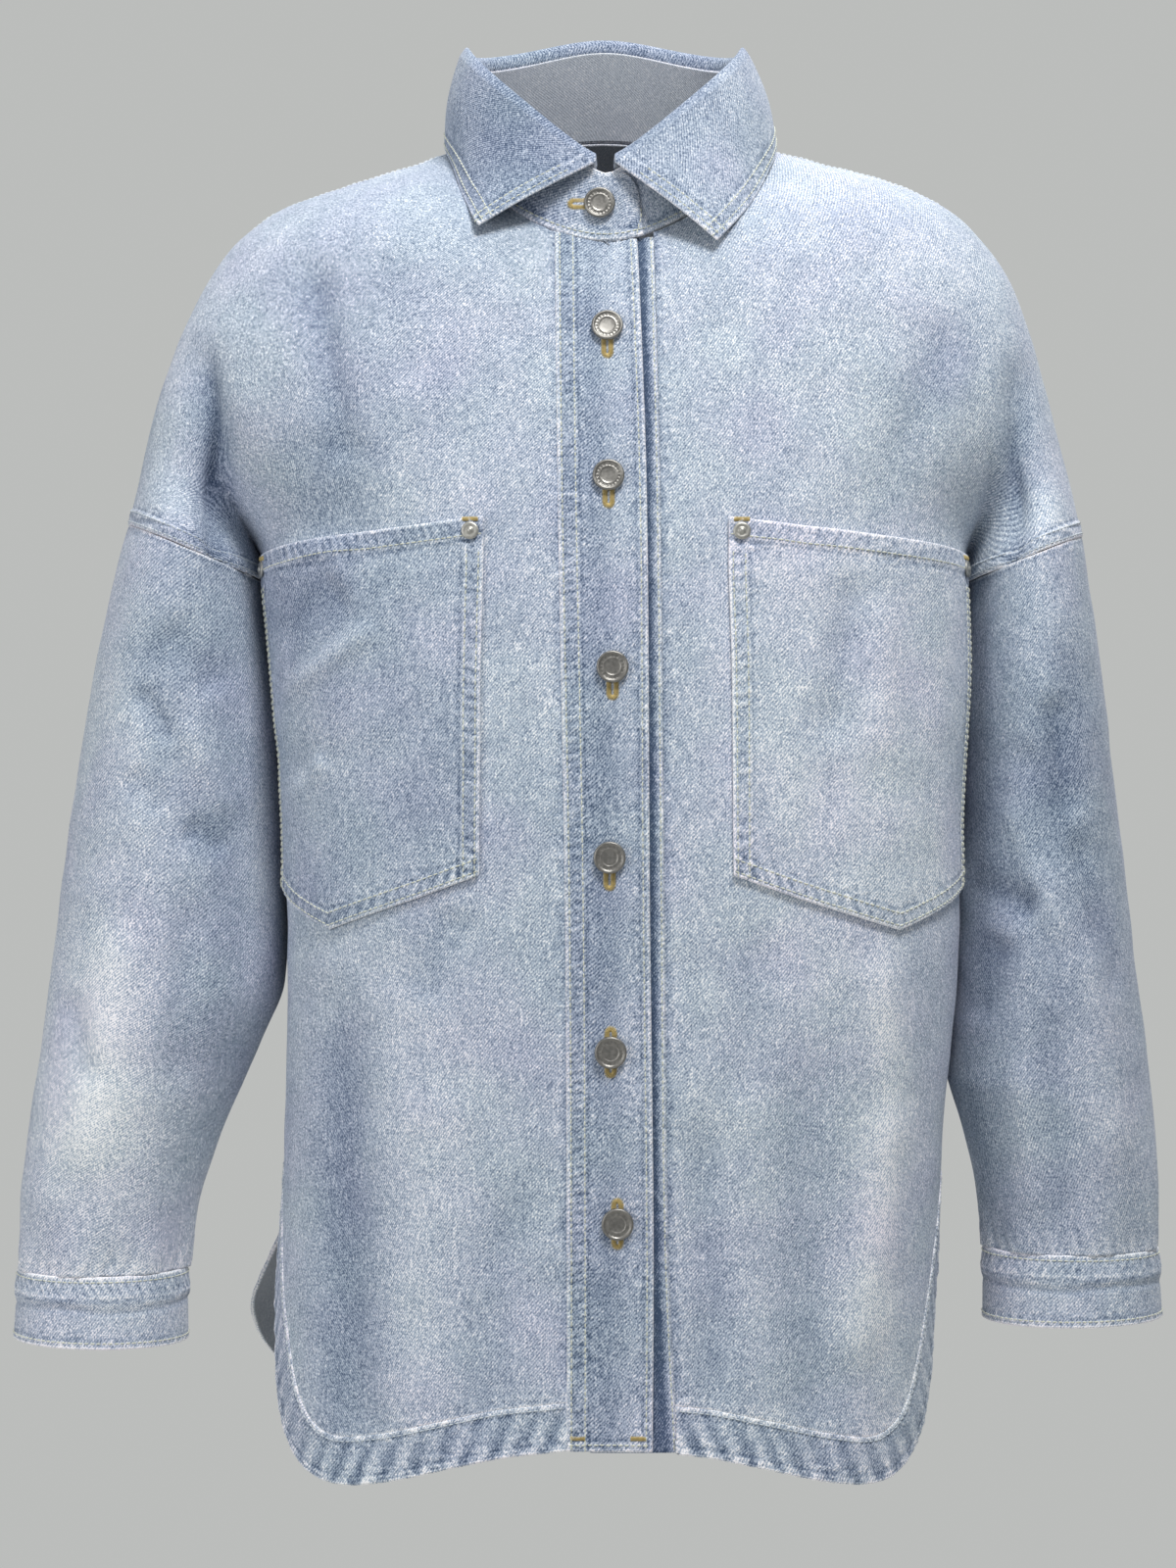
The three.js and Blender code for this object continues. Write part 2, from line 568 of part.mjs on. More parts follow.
function sleeve(name, side) {
  const armhole = YOKE[YOKE.length - 1];
  const top = {
    inner: bodySide(side, PIT_LEVEL) + SLEEVE_CLEAR,
    outer: armhole.seam,
    innerDown: PIT_LEVEL + SEAM * 2,
    outerDown: armhole[side.seamDown] + SEAM * 2,
    depth: armhole.arm * 2,
    middle: 0,
  };
  const table = side.sleeve;
  const end = table[table.length - 1].down;
  const joined = table[0].down + ARMHOLE_REACH;
  const rings = steps(SLEEVE_ROWS).map((share) => {
    const down = mix(PIT_LEVEL, end, share);
    const gather = GATHERS.depth * ease(limit(1 - (end - down) / GATHERS.reach, 0, 1));
    const row = sleeveRow(side, Math.max(down, table[0].down));
    const near = ease(limit((joined - down) / (joined - PIT_LEVEL), 0, 1));
    for (const column of Object.keys(row)) row[column] = mix(row[column], top[column], near);
    row.innerDown = mix(down, top.innerDown, near);
    row.outerDown = mix(down, top.outerDown, near);
    return sleeveRing(side, row, gather);
  });
  return wall(name, rings, { hand: side.way, wrap: true, folded: true, squareTo: ends(SLEEVE_ROWS) });
}

function cuff(name, side) {
  const end = side.sleeve[side.sleeve.length - 1];
  const rings = CUFF_ROWS.map(({ down, out }) => {
    const row = {
      inner: end.inner - out,
      outer: end.outer + out + down * CUFF.flare,
      depth: end.depth + 2 * out,
      middle: end.middle,
      innerDown: end.down + SEAM * 2 + down * CUFF.height,
      outerDown: end.down + SEAM * 2 + down * (CUFF.height - CUFF.outerShorter),
    };
    return sleeveRing(side, row, 0);
  });
  const squareTo = ends(CUFF_ROWS.length - 1);
  return wall(name, rings, { thick: FACED, hand: side.way, wrap: true, squareTo, color: VISIBLE.worn });
}

for (const [name, side] of [["right", RIGHT], ["left", LEFT]]) {
  parts.add(sleeve(`sleeve_${name}`, side));
  parts.add(cuff(`cuff_${name}`, side));
}

// The plackets: strips down the front, each from its own seam.
function strip(name, edges, bottom, options) {
  const grid = steps(PLACKET.rows).map((share) => edges.map((edge) => {
    const topX = OPENING[0][edge.column] + edge.shift;
    const neck = neckPoint(THREE.MathUtils.radToDeg(Math.atan2(-topX, YOKE[0].front)));
    const down = mix(-neck.z + SEAM * 3, bottom, share);
    const x = read(OPENING, "down", down, edge.column) + edge.shift;
    return frontPoint(x, down);
  }));
  const squareTo = (_, i) => (i === 0 || i === edges.length - 1 ? "x" : "");
  return wall(name, grid, { ...options, thick: FACED, color: VISIBLE.worn, folded: true, squareTo });
}
const topEdges = [
  { column: "topSeam", shift: 0 },
  { column: "topSeam", shift: PLACKET.stitched },
  { column: "freeEdge", shift: -PLACKET.stitched },
  { column: "freeEdge", shift: 0 },
];
const underEdges = [
  { column: "underSeam", shift: -PLACKET.underWidth },
  { column: "underSeam", shift: -PLACKET.underWidth / 2 },
  { column: "underSeam", shift: 0 },
];
parts.add(strip("placket", topEdges, PLACKET.bottom, { lift: PLACKET.proud }));
const under = PLACKET.proud - FACED - PLACKET.gap;
parts.add(strip("under_placket", underEdges, PLACKET.underBottom, { lift: under }));

// Stations along the rounded end of the stand, and along each half of the collar from the front to the back.
const STAND_END = [1, 0.93, 0.72, 0.4, 0];
const COLLAR_ALONG = [0, 0.06, 0.12, 0.2, 0.28, 0.34, 0.4, 0.45, 0.5, 0.58, 0.68, 0.79, 0.9, 1];

// Height of the collar's roll above the origin, by turn from the middle of the front.
function rollUp(turn) {
  const swell = Math.abs(Math.sin(radians(turn)));
  if (Math.abs(turn) <= 90) return ROLL.sideRise * swell ** ROLL.power - ROLL.frontDown;
  return ROLL.sideRise - ROLL.frontDown + ROLL.backRise * Math.cos(radians(turn)) ** 2;
}
const shortTurn = (turn) => Math.abs(THREE.MathUtils.euclideanModulo(turn + 180, 360) - 180);

// The stand: a band from its end under the wearer's left front, round the neck, to its rounded end on top.
function collarStand() {
  const overlap = THREE.MathUtils.radToDeg(Math.atan2(STAND.overlap, YOKE[0].front));
  const rollTurns = COLLAR_ALONG.map((along) => read(FALL, "along", along, "rollTurn"));
  const otherSide = rollTurns.slice(0, -1).reverse().map((turn) => 360 - turn);
  const tip = STAND_END.map((share) => -overlap * share);
  const turns = [...tip, ...rollTurns, ...otherSide, 360, 360 + overlap];
  const columns = turns.map((turn) => {
    const share = (turn + overlap) / (360 + 2 * overlap);
    const out = STAND.lap * (1 - 2 * share);
    const foot = neckPoint(turn);
    const reach = Math.hypot(foot.x, foot.y);
    const end = Math.min(turn + overlap, 360 + overlap - turn) / overlap;
    const rounded = end < 1 ? Math.sqrt(1 - (1 - end) ** 2) : 1;
    const bottom = foot.z + STAND.seat;
    const full = rollUp(shortTurn(turn)) - STAND.top;
    const top = mix(bottom + STAND.endHeight, full, rounded);
    return steps(2).map((up) => {
      const scale = (reach * mix(1, STAND.lean, up) + out) / reach;
      return new THREE.Vector3(foot.x * scale, foot.y * scale, mix(bottom, top, up));
    });
  });
  const grid = [2, 1, 0].map((row) => columns.map((column) => column[row]));
  return wall("collar_stand", grid, { thick: FACED, hand: -1, color: VISIBLE.worn });
}
parts.add(collarStand());

// The falling collar: from its foot on the stand, over the roll, and out to its edge.
function collarColumn(side, along) {
  const get = (column) => read(FALL, "along", along, column);
  const rollTurn = get("rollTurn");
  const foot = neckPoint(rollTurn);
  const standReach = Math.hypot(foot.x, foot.y) * STAND.lean;
  const height = rollUp(rollTurn);
  const place = (turn, reach, z) => {
    const sine = Math.sin(radians(turn));
    return new THREE.Vector3(side.way * reach * sine, -reach * Math.cos(radians(turn)), z);
  };
  const edge = place(get(`turn${side.letter}`), get(`reach${side.letter}`), -get(`down${side.letter}`));
  const roll = COLLAR_ROLL.map(({ out, below }) => place(rollTurn, standReach + out, height - below));
  const shoulder = roll[roll.length - 1];
  const fall = steps(5).slice(1).map((share) => {
    const point = shoulder.clone().lerp(edge, share);
    const swell = 1 + (COLLAR_SWELL * Math.sin(Math.PI * share)) / Math.hypot(point.x, point.y);
    return point.set(point.x * swell, point.y * swell, point.z);
  });
  return [...roll, ...fall];
}
const rightColumns = COLLAR_ALONG.map((along) => collarColumn(RIGHT, along));
const leftColumns = COLLAR_ALONG.slice(0, -1).reverse().map((along) => collarColumn(LEFT, along));
const collarColumns = [...rightColumns, ...leftColumns];
const collarGrid = collarColumns[0].map((_, row) => collarColumns.map((column) => column[row]));
parts.add(wall("collar", collarGrid, { thick: DENIM, hand: -1, color: VISIBLE.worn }));

// Patch pockets: made from the front's own points, moved out, with a thicker hem along the top.
function pocketPoint(side, turn, down) {
  if (down >= PIT_LEVEL) return torsoPoint(side, FRONT, turn, down);
  return frontPoint(torsoPoint(side, FRONT, turn, PIT_LEVEL).x, down);
}
function pocketFoot(share) {
  const { inner, point, pointAt, outer } = POCKET_FOOT;
  if (share < pointAt) return mix(inner, point, share / pointAt);
  return mix(point, outer, (share - pointAt) / (1 - pointAt));
}
function pocket(name, side) {
  const rows = [0, 0.055, 0.058, 0.2, 0.36, 0.52, 0.68, 0.84, 1];
  const columns = [0, 0.14, 0.28, 0.42, 0.52, 0.6, 0.68, 0.76, 0.84, 0.92, 1];
  const grid = rows.map((down) => columns.map((share) => {
    const turn = mix(POCKET.innerTurn, POCKET.outerTurn, share);
    const top = mix(POCKET.topInner, POCKET.topOuter, share);
    return pocketPoint(side, turn, mix(top, pocketFoot(share), down));
  }));
  return wall(name, grid, {
    hand: side.way,
    folded: true,
    lift: DENIM + POCKET.seat,
    extra: (j) => (j < 2 ? POCKET.hemProud : 0),
    color: VISIBLE.worn,
  });
}
parts.add(pocket("pocket_right", RIGHT));
parts.add(pocket("pocket_left", LEFT));

// Hem bands: each follows its panel's curved edge at its own width.
function hemBandHalf(side, face, column) {
  const start = column ? openingTurn(column)(HEM[0].front, 1) : 0;
  const turns = column ? FRONT_TURNS : BACK_TURNS;
  const stations = [start, ...turns.slice(0, -1).map((turn) => mix(start, 90, turn / 90)), HEM_BAND.lastTurn];
  return stations.map((turn, k) => {
    const edge = (at) => ({ arc: at * ARC, down: read(HEM, "turn", at, face.deep) });
    const [before, at, after] = [edge(turn - 0.5), edge(turn), edge(turn + 0.5)];
    const run = after.arc - before.arc;
    const drop = turn > HEM[0].turn ? after.down - before.down : 0;
    const length = Math.hypot(run, drop);
    const share = (turn - HEM_BAND.narrowFrom) / (HEM_BAND.lastTurn - HEM_BAND.narrowFrom);
    const narrow = ease(limit(share, 0, 1));
    const width = mix(HEM_BAND.width, HEM_BAND.ends, narrow);
    return [SEAM * 1.5, width / 2, width].map((out) => {
      const down = at.down + (run / length) * out;
      const beside = column && k === 0;
      const placed = beside ? openingTurn(column)(down, 1) : (at.arc - (drop / length) * out) / ARC;
      return torsoPoint(side, face, placed, down);
    });
  });
}
function hemBand(name, halves, hand) {
  const grid = [0, 1, 2].map((row) => halves.map((station) => station[row]));
  const lift = (FACED - DENIM) / 2;
  return wall(name, grid, { thick: FACED, hand, folded: true, lift, color: VISIBLE.worn });
}
parts.add(hemBand("hem_band_right", hemBandHalf(RIGHT, FRONT, "topSeam"), -1));
parts.add(hemBand("hem_band_left", hemBandHalf(LEFT, FRONT, "underSeam"), 1));
const backHalves = [...hemBandHalf(RIGHT, BACK).reverse(), ...hemBandHalf(LEFT, BACK).slice(1)];
parts.add(hemBand("hem_band_back", backHalves, -1));

// Buttons and rivets: turned metal, set on the cloth with the small gap that keeps the solids apart.
function turned(name, profile, sides, color) {
  const points = profile.map(([radius, height]) => new THREE.Vector2(radius, height));
  const geometry = new THREE.LatheGeometry(points, sides);
  const material = new THREE.MeshStandardMaterial({ color, ...METAL });
  const mesh = new THREE.Mesh(geometry, material);
  mesh.name = name;
  return mesh;
}

// Puts a turned piece on the cloth, standing out along the cloth's own normal, which is found from four
// points a little way round it.
function standOn(mesh, at, lift) {
  const near = 3;
  const place = (dx, dz) => at(dx * near, dz * near);
  const across = place(1, 0).sub(place(-1, 0));
  const down = place(0, 1).sub(place(0, -1));
  const normal = down.cross(across).normalize();
  const middle = place(0, 0);
  middle.addScaledVector(normal, lift - foldDepth(middle, normal));
  mesh.position.copy(middle);
  mesh.quaternion.setFromUnitVectors(new THREE.Vector3(0, 1, 0), normal);
  return mesh;
}

const buttonProfile = [
  [0, 0],
  [BUTTON.shank, 0],
  [BUTTON.shank, BUTTON.shankHeight],
  [BUTTON.radius - BUTTON.dish, BUTTON.shankHeight],
  [BUTTON.radius, BUTTON.shankHeight + BUTTON.dish],
  [BUTTON.radius - BUTTON.dish, BUTTON.height],
  [BUTTON.radius - BUTTON.rim, BUTTON.height],
  [BUTTON.radius - BUTTON.rim - BUTTON.dish, BUTTON.height - BUTTON.dish],
  [0, BUTTON.height - BUTTON.dish],
];
for (const { name, across, down } of BUTTONS) {
  const button = turned(name, buttonProfile, BUTTON.sides, VISIBLE.metal);
  if (name === "button_1") {
    const turn = (dx) => THREE.MathUtils.radToDeg(Math.atan2(-(across + dx), YOKE[0].front));
    const onStand = (dx, dz) => {
      const foot = neckPoint(turn(dx));
      const up = limit((-down - dz - foot.z) / STAND_HEIGHT, 0, 1);
      return new THREE.Vector3(foot.x, foot.y * mix(1, STAND.lean, up), -down - dz);
    };
    parts.add(standOn(button, onStand, STAND.lap + SEAT));
  } else parts.add(standOn(button, (dx, dz) => frontPoint(across + dx, down + dz), PLACKET.proud + SEAT));
}

const rivetProfile = [
  [0, 0],
  [RIVET.radius, 0],
  [RIVET.radius, RIVET.flange / 2],
  [RIVET.radius - RIVET.flange, RIVET.flange],
  [RIVET.tip, RIVET.flange],
  [0, RIVET.height],
];
for (const [name, side] of [["right", RIGHT], ["left", LEFT]])
  for (const [place, turn, top] of [
    ["inner", POCKET.innerTurn + RIVET.insetTurn, POCKET.topInner],
    ["outer", POCKET.outerTurn - RIVET.insetTurn, POCKET.topOuter],
  ]) {
    const rivet = turned(`rivet_${name}_${place}`, rivetProfile, RIVET.sides, VISIBLE.rivet);
    const at = (dx, dz) => pocketPoint(side, turn + (side.way * dx) / ARC, top + RIVET.below + dz);
    parts.add(standOn(rivet, at, POCKET.seat + DENIM + POCKET.hemProud + SEAT));
  }

export default parts;
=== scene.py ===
import bpy
import numpy as np
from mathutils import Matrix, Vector


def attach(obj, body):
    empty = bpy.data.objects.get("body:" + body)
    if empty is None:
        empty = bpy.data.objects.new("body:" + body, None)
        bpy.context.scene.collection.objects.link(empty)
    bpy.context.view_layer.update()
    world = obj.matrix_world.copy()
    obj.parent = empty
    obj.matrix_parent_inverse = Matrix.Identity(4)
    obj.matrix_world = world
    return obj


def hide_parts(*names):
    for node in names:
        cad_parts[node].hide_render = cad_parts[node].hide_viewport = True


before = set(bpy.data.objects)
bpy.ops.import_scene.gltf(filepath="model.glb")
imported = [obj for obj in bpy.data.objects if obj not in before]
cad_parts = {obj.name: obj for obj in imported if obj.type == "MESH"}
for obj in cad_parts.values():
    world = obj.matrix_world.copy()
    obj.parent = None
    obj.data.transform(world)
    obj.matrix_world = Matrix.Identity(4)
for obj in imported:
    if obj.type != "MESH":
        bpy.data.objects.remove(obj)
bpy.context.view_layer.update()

# Camera and studio: a level view straight from the front, at waist height, under soft light in a pale studio.
# Lengths in this script are millimetres in the jacket's own frame, turned into metres as each mesh is made.
MM = 0.001
CAMERA_AT = (-9.5, -1762, -358)
VIEW_HALF_HEIGHT = 800 / 3148  # half the picture's height for each unit of distance
SENSOR = 36
FLOOR = {"down": 1430, "radius": 2200, "sides": 96, "color": (0.62, 0.62, 0.6, 1)}
BACKDROP_COLOR = (0.5, 0.51, 0.5, 1)
SKY_COLOR = (0.27, 0.28, 0.29, 1)  # the light that comes from all round
SOFTBOXES = [
    # name, place, aim, width, height, watts
    ("key_light", (450, -1250, 1650), (0, 0, -200), 760, 560, 46),
    ("fill_light", (-1700, -1400, -100), (0, 0, -400), 1300, 1300, 15),
    ("top_light", (0, 300, 1700), (0, 0, -100), 1600, 1200, 18),
    ("back_light", (500, 1800, 700), (0, 0, -300), 1500, 1500, 20),
]


def smooth_mesh(name, points, faces, material):
    """A smooth mesh at the origin, from points in millimetres and faces that all have as many corners."""
    mesh = bpy.data.meshes.new(name)
    mesh.vertices.add(len(points))
    mesh.vertices.foreach_set("co", (points * MM).ravel())
    mesh.loops.add(faces.size)
    mesh.loops.foreach_set("vertex_index", faces.ravel())
    mesh.polygons.add(len(faces))
    mesh.polygons.foreach_set("loop_start", np.arange(len(faces)) * faces.shape[1])
    mesh.polygons.foreach_set("use_smooth", np.ones(len(faces), bool))
    mesh.update(calc_edges=True)
    mesh.materials.append(material)
    made = bpy.data.objects.new(name, mesh)
    bpy.context.scene.collection.objects.link(made)
    return made


camera_data = bpy.data.cameras.new("camera")
camera_data.sensor_fit = "VERTICAL"
camera_data.sensor_height = SENSOR
camera_data.lens = SENSOR / 2 / VIEW_HALF_HEIGHT
camera = bpy.data.objects.new("camera", camera_data)
camera.location = np.array(CAMERA_AT) * MM
camera.rotation_euler = (np.pi / 2, 0, 0)
bpy.context.scene.collection.objects.link(camera)
bpy.context.scene.camera = camera

floor_material = bpy.data.materials.new("studio_floor")
floor_material.use_nodes = True
floor_material.node_tree.nodes["Principled BSDF"].inputs["Base Color"].default_value = FLOOR["color"]
floor_turn = np.linspace(0, 2 * np.pi, FLOOR["sides"], endpoint=False)
floor_points = np.stack([np.cos(floor_turn), np.sin(floor_turn), 0 * floor_turn], 1) * FLOOR["radius"]
floor_points[:, 2] = -FLOOR["down"]
smooth_mesh("floor", floor_points, np.arange(FLOOR["sides"])[None], floor_material)

bpy.context.scene.view_settings.view_transform = "Standard"
world = bpy.data.worlds.new("studio")
world.use_nodes = True
sky, nodes = world.node_tree.nodes["Background"], world.node_tree.nodes
sky.inputs["Color"].default_value = SKY_COLOR
backdrop = nodes.new("ShaderNodeBackground")
backdrop.inputs["Color"].default_value = BACKDROP_COLOR
seen = nodes.new("ShaderNodeMixShader")
for start, end in ((nodes.new("ShaderNodeLightPath").outputs["Is Camera Ray"], 0), (sky.outputs[0], 1),
                   (backdrop.outputs[0], 2)):
    world.node_tree.links.new(start, seen.inputs[end])
world.node_tree.links.new(seen.outputs[0], nodes["World Output"].inputs["Surface"])
bpy.context.scene.world = world
for name, place, aim, width, height, watts in SOFTBOXES:
    light = bpy.data.lights.new(name, "AREA")
    light.shape = "RECTANGLE"
    light.size = width * MM
    light.size_y = height * MM
    light.energy = watts
    lamp = bpy.data.objects.new(name, light)
    lamp.location = np.array(place) * MM
    lamp.rotation_euler = Vector(np.subtract(aim, place)).to_track_quat("-Z", "Y").to_euler()
    bpy.context.scene.collection.objects.link(lamp)

# The two fronts: each is one panel of light washed cotton twill from the neckline over the front of the
# shoulder to the dropped armhole, and down to the curved hem. They are joined to the back at the shoulder and
# side seams, and felled to the sleeves with two rows of topstitching.
DENIM = 1.5  # one layer of the cloth
FACED = 2.2  # two layers: plackets, stand, cuffs, hem bands
SEAM = 0.4  # gap between two pieces at a seam
SQUARENESS = 2.8  # exponent of the body's rounded section, a little squarer than that of the solids
PIT_LEVEL = 244  # depth of the underarm below the origin
PIT_HALF = 5  # half the width of the underarm point, front to back
FOLD_TURN = 68  # where the underarm fold starts on the rounded sweep of the shoulders
DROP_POWER = 1.5  # how late the rounded sweep drops from the shoulder seam to the front or back
PIT_CLOSES = 11  # how soon below the underarm point the panels' side edges come together
PRESS_SPREAD = 24  # degrees either side of the side seam that the arm presses in
FACES_FRONT = 0.88  # share of the way to the underarm fold that still faces the front
RIGHT = {"way": -1, "letter": "R"}  # the wearer's right, at the viewer's left
LEFT = {"way": 1, "letter": "L"}
FRONT = {"way": -1, "down": "frontDown", "deep": "front"}
BACK = {"way": 1, "down": "backDown", "deep": "back"}


def table(names, *rows):
    """A short table as one array for each named column; the first column is the one it is read by."""
    return dict(zip(names.split(), np.array(rows, float).T))


YOKE = table(
    "level split seam seamDownR seamDownL pitR pitL arm frontDown front backDown back",
    (0.00, 0.00, 80, -4, -5, 79, 79, 60, 62, 76, -20, 60),
    (0.13, 0.00, 121, 10, 4, 116, 118, 70, 75, 85, -4, 76),
    (0.26, 0.00, 158, 22, 14, 150, 152, 74, 90, 92, 16, 88),
    (0.38, 0.00, 189, 35, 28, 178, 182, 78, 107, 98, 38, 98),
    (0.49, 0.00, 211, 53, 46, 196, 202, 80, 126, 103, 64, 106),
    (0.61, 0.00, 232, 85, 77, 205, 213, 82, 150, 109, 100, 113),
    (0.75, 0.12, 249, 130, 130, 208, 219, 84, 182, 115, 150, 118),
    (0.88, 0.40, 261, 173, 178, 207, 220, 84, 214, 120, 200, 120),
    (1.00, 1.00, 270, 211, 218, 206, 219, 82, 244, 123, 244, 120),
)
TORSO = table(
    "down halfR halfL front back pressR pressL",
    (244, 206, 219, 123, 120, 16, 17),
    (300, 197, 217, 126, 118, 13, 15),
    (358, 190, 213, 127, 117, 10, 13),
    (468, 186, 207, 128, 119, 8, 10),
    (578, 184, 192, 127, 122, 3, 3),
    (640, 186, 187, 127, 124, 0, 0),
    (740, 188, 184, 129, 127, 0, 0),
)
HEM = table(
    "turn front back",
    (10, 686, 712), (24, 690, 711), (36, 697, 709), (48, 706, 705), (56, 709, 697), (61, 702, 686),
    (65, 686, 670), (69, 655, 648), (74, 612, 616), (81, 580, 584), (90, 562, 562),
)
# The corner of the back at the wearer's right vent curls outwards: its middle, its spread round the body and
# upwards, and how far it stands out.
VENT_CURL = {"turn": 74, "down": 668, "spreadTurn": 13, "spreadUp": 44, "out": 26}
OPENING = table(
    "down topSeam freeEdge underSeam",
    (55, -27, 16.5, 26), (200, -25, 21, 29), (420, -21, 22.5, 31), (600, -20, 24.5, 33), (712, -20, 24, 38),
)


def ease(share):
    """Rises smoothly from 0 to 1 as share does, and stays there on both sides."""
    share = np.clip(share, 0, 1)
    return share * share * (3 - 2 * share)


def mix(start, end, share):
    """The value that lies a share of the way from start to end."""
    return start + (end - start) * share


def read(rows, at, column):
    """A column at any place between the rows, on the smooth curve whose slope at a row is its neighbours'."""
    key, values = next(iter(rows.values())), rows[column]
    at = np.asarray(at, float)
    i = np.clip(np.searchsorted(key, at, "right") - 1, 0, len(key) - 2)
    before, after = np.maximum(np.arange(len(key)) - 1, 0), np.minimum(np.arange(len(key)) + 1, len(key) - 1)
    slope = (values[after] - values[before]) / (key[after] - key[before])
    span = key[i + 1] - key[i]
    t = np.clip((at - key[i]) / span, 0, 1)
    bend = span * (t * (1 - t) ** 2 * slope[i] + t * t * (t - 1) * slope[i + 1])
    return mix(values[i], values[i + 1], ease(t)) + bend


def section_reach(half, deep, turn, press):
    """Distance from the middle line to a rounded section: a superellipse, pressed in round the side seam."""
    a = np.abs(np.sin(np.radians(turn)) / half) ** SQUARENESS
    b = np.abs(np.cos(np.radians(turn)) / deep) ** SQUARENESS
    return (a + b) ** (-1 / SQUARENESS) - press * np.exp(-(((turn - 90) / PRESS_SPREAD) ** 2))


def vent_curl(turn, down):
    """How far the back's corner at the vent curls out: a bell round the body that fades upwards."""
    across = (turn - VENT_CURL["turn"]) / VENT_CURL["spreadTurn"]
    above = np.minimum(down - VENT_CURL["down"], 0) / VENT_CURL["spreadUp"]
    return VENT_CURL["out"] * np.exp(-across ** 2 - above ** 2)


def torso_point(side, face, turn, down):
    """A point of the body below the underarm, by turn from the middle of the front or back and by depth."""
    turn, down = np.broadcast_arrays(np.asarray(turn, float), np.asarray(down, float))
    half, press = (read(TORSO, down, name + side["letter"]) for name in ("half", "press"))
    reach = section_reach(half, read(TORSO, down, face["deep"]), np.abs(turn), press)
    if side is RIGHT and face is BACK:
        reach = reach + vent_curl(turn, down)
    x = side["way"] * reach * np.sin(np.radians(turn))
    y = face["way"] * (reach * np.cos(np.radians(turn)) + SEAM / 2)
    return np.stack([x, y, -down], -1)


def yoke_point(side, face, start, across, level):
    """A point between neckline and armhole: across goes 0 to 1 from the middle to the underarm fold and on to 2
    at the shoulder seam. High up it is one rounded sweep; lower down it parts into the body and the arm."""
    start, across, level = np.broadcast_arrays(*(np.asarray(value, float) for value in (start, across, level)))
    row = {name: read(YOKE, level, name) for name in YOKE if name != "level"}
    deep, start_down, seam_down = row[face["deep"]], row[face["down"]], row["seamDown" + side["letter"]]
    turn = np.where(across < 1, mix(start, FOLD_TURN, across), mix(FOLD_TURN, 90, across - 1))
    swept = np.maximum(np.cos(np.radians(turn)), 0)
    reach = section_reach(row["seam"], deep, turn, 0)
    depth = mix(seam_down, start_down, swept ** DROP_POWER)
    whole = np.stack([reach * np.sin(np.radians(turn)), reach * swept, -depth], -1)
    pit, press = row["pit" + side["letter"]], TORSO["press" + side["letter"]][0]
    pit_turn = 90 - np.degrees(PIT_HALF / (pit - press))
    body_turn = mix(start, pit_turn, np.minimum(across, 1))
    body_reach = section_reach(pit, deep, body_turn, press)
    corner_x = section_reach(pit, deep, pit_turn, press) * np.sin(np.radians(pit_turn))
    around = mix(np.arcsin(PIT_HALF / row["arm"]), np.pi, np.maximum(across - 1, 0))
    rise = (1 - np.cos(around)) / 2
    on_body = across <= 1
    parted = np.stack([
        np.where(on_body, body_reach * np.sin(np.radians(body_turn)), mix(corner_x, row["seam"], rise)),
        np.where(on_body, body_reach * np.cos(np.radians(body_turn)), row["arm"] * np.sin(around)),
        np.where(on_body, -start_down, -mix(start_down, seam_down, rise)),
    ], -1)
    point = mix(whole, parted, ease(row["split"])[..., None])
    point[..., 1] += SEAM / 2
    return point * (side["way"], face["way"], 1)


def solve(low, high, target, measure, rounds=14):
    """The values between low and high at which a rising measure reaches the target, by halving."""
    low, high = np.full(np.shape(target), float(low)), np.full(np.shape(target), float(high))
    for _ in range(rounds):
        middle = (low + high) / 2
        short = measure(middle) < target
        low, high = np.where(short, middle, low), np.where(short, high, middle)
    return (low + high) / 2


def front_point(x, down):
    """A point of the front, by its distance across from the middle and its depth, found by halving."""
    x, down = np.broadcast_arrays(np.asarray(x, float), np.asarray(down, float))
    found = np.empty(x.shape + (3,))
    for side in (RIGHT, LEFT):
        own = x * side["way"] >= 0
        low = own & (down >= PIT_LEVEL)
        turn = solve(0, 75, np.abs(x[low]), lambda at: np.abs(torso_point(side, FRONT, at, down[low])[..., 0]))
        found[low] = torso_point(side, FRONT, turn, down[low])
        high = own & (down < PIT_LEVEL)
        wanted = down[high]

        def at_depth(across):
            level = solve(0, 1, wanted, lambda at: -yoke_point(side, FRONT, 0, across, at)[..., 2])
            return yoke_point(side, FRONT, 0, across, level)

        across = solve(0, FACES_FRONT, np.abs(x[high]), lambda at: np.abs(at_depth(at)[..., 0]))
        found[high] = at_depth(across)
    return found


def opening_turn(column, down, level):
    """The turn where a front panel ends beside its placket, at a depth in the torso or a level of the yoke."""
    lower = down > PIT_LEVEL
    deep = np.where(lower, read(TORSO, down, "front"), read(YOKE, level, "front"))
    half = np.where(lower, read(TORSO, down, "halfR"), read(YOKE, level, "seam"))
    edge = np.abs(read(OPENING, down, column)) + SEAM
    return solve(0, 45, edge, lambda turn: section_reach(half, deep, turn, 0) * np.sin(np.radians(turn)))


def spread(count, first=0.0, last=1.0, edge=0.004):
    """Even steps from first to last, with one more close to each end so that edges stay crisp."""
    steps = np.linspace(0, 1, count)
    steps = np.sort(np.concatenate([steps, [edge, 1 - edge]]))
    return mix(first, last, steps)


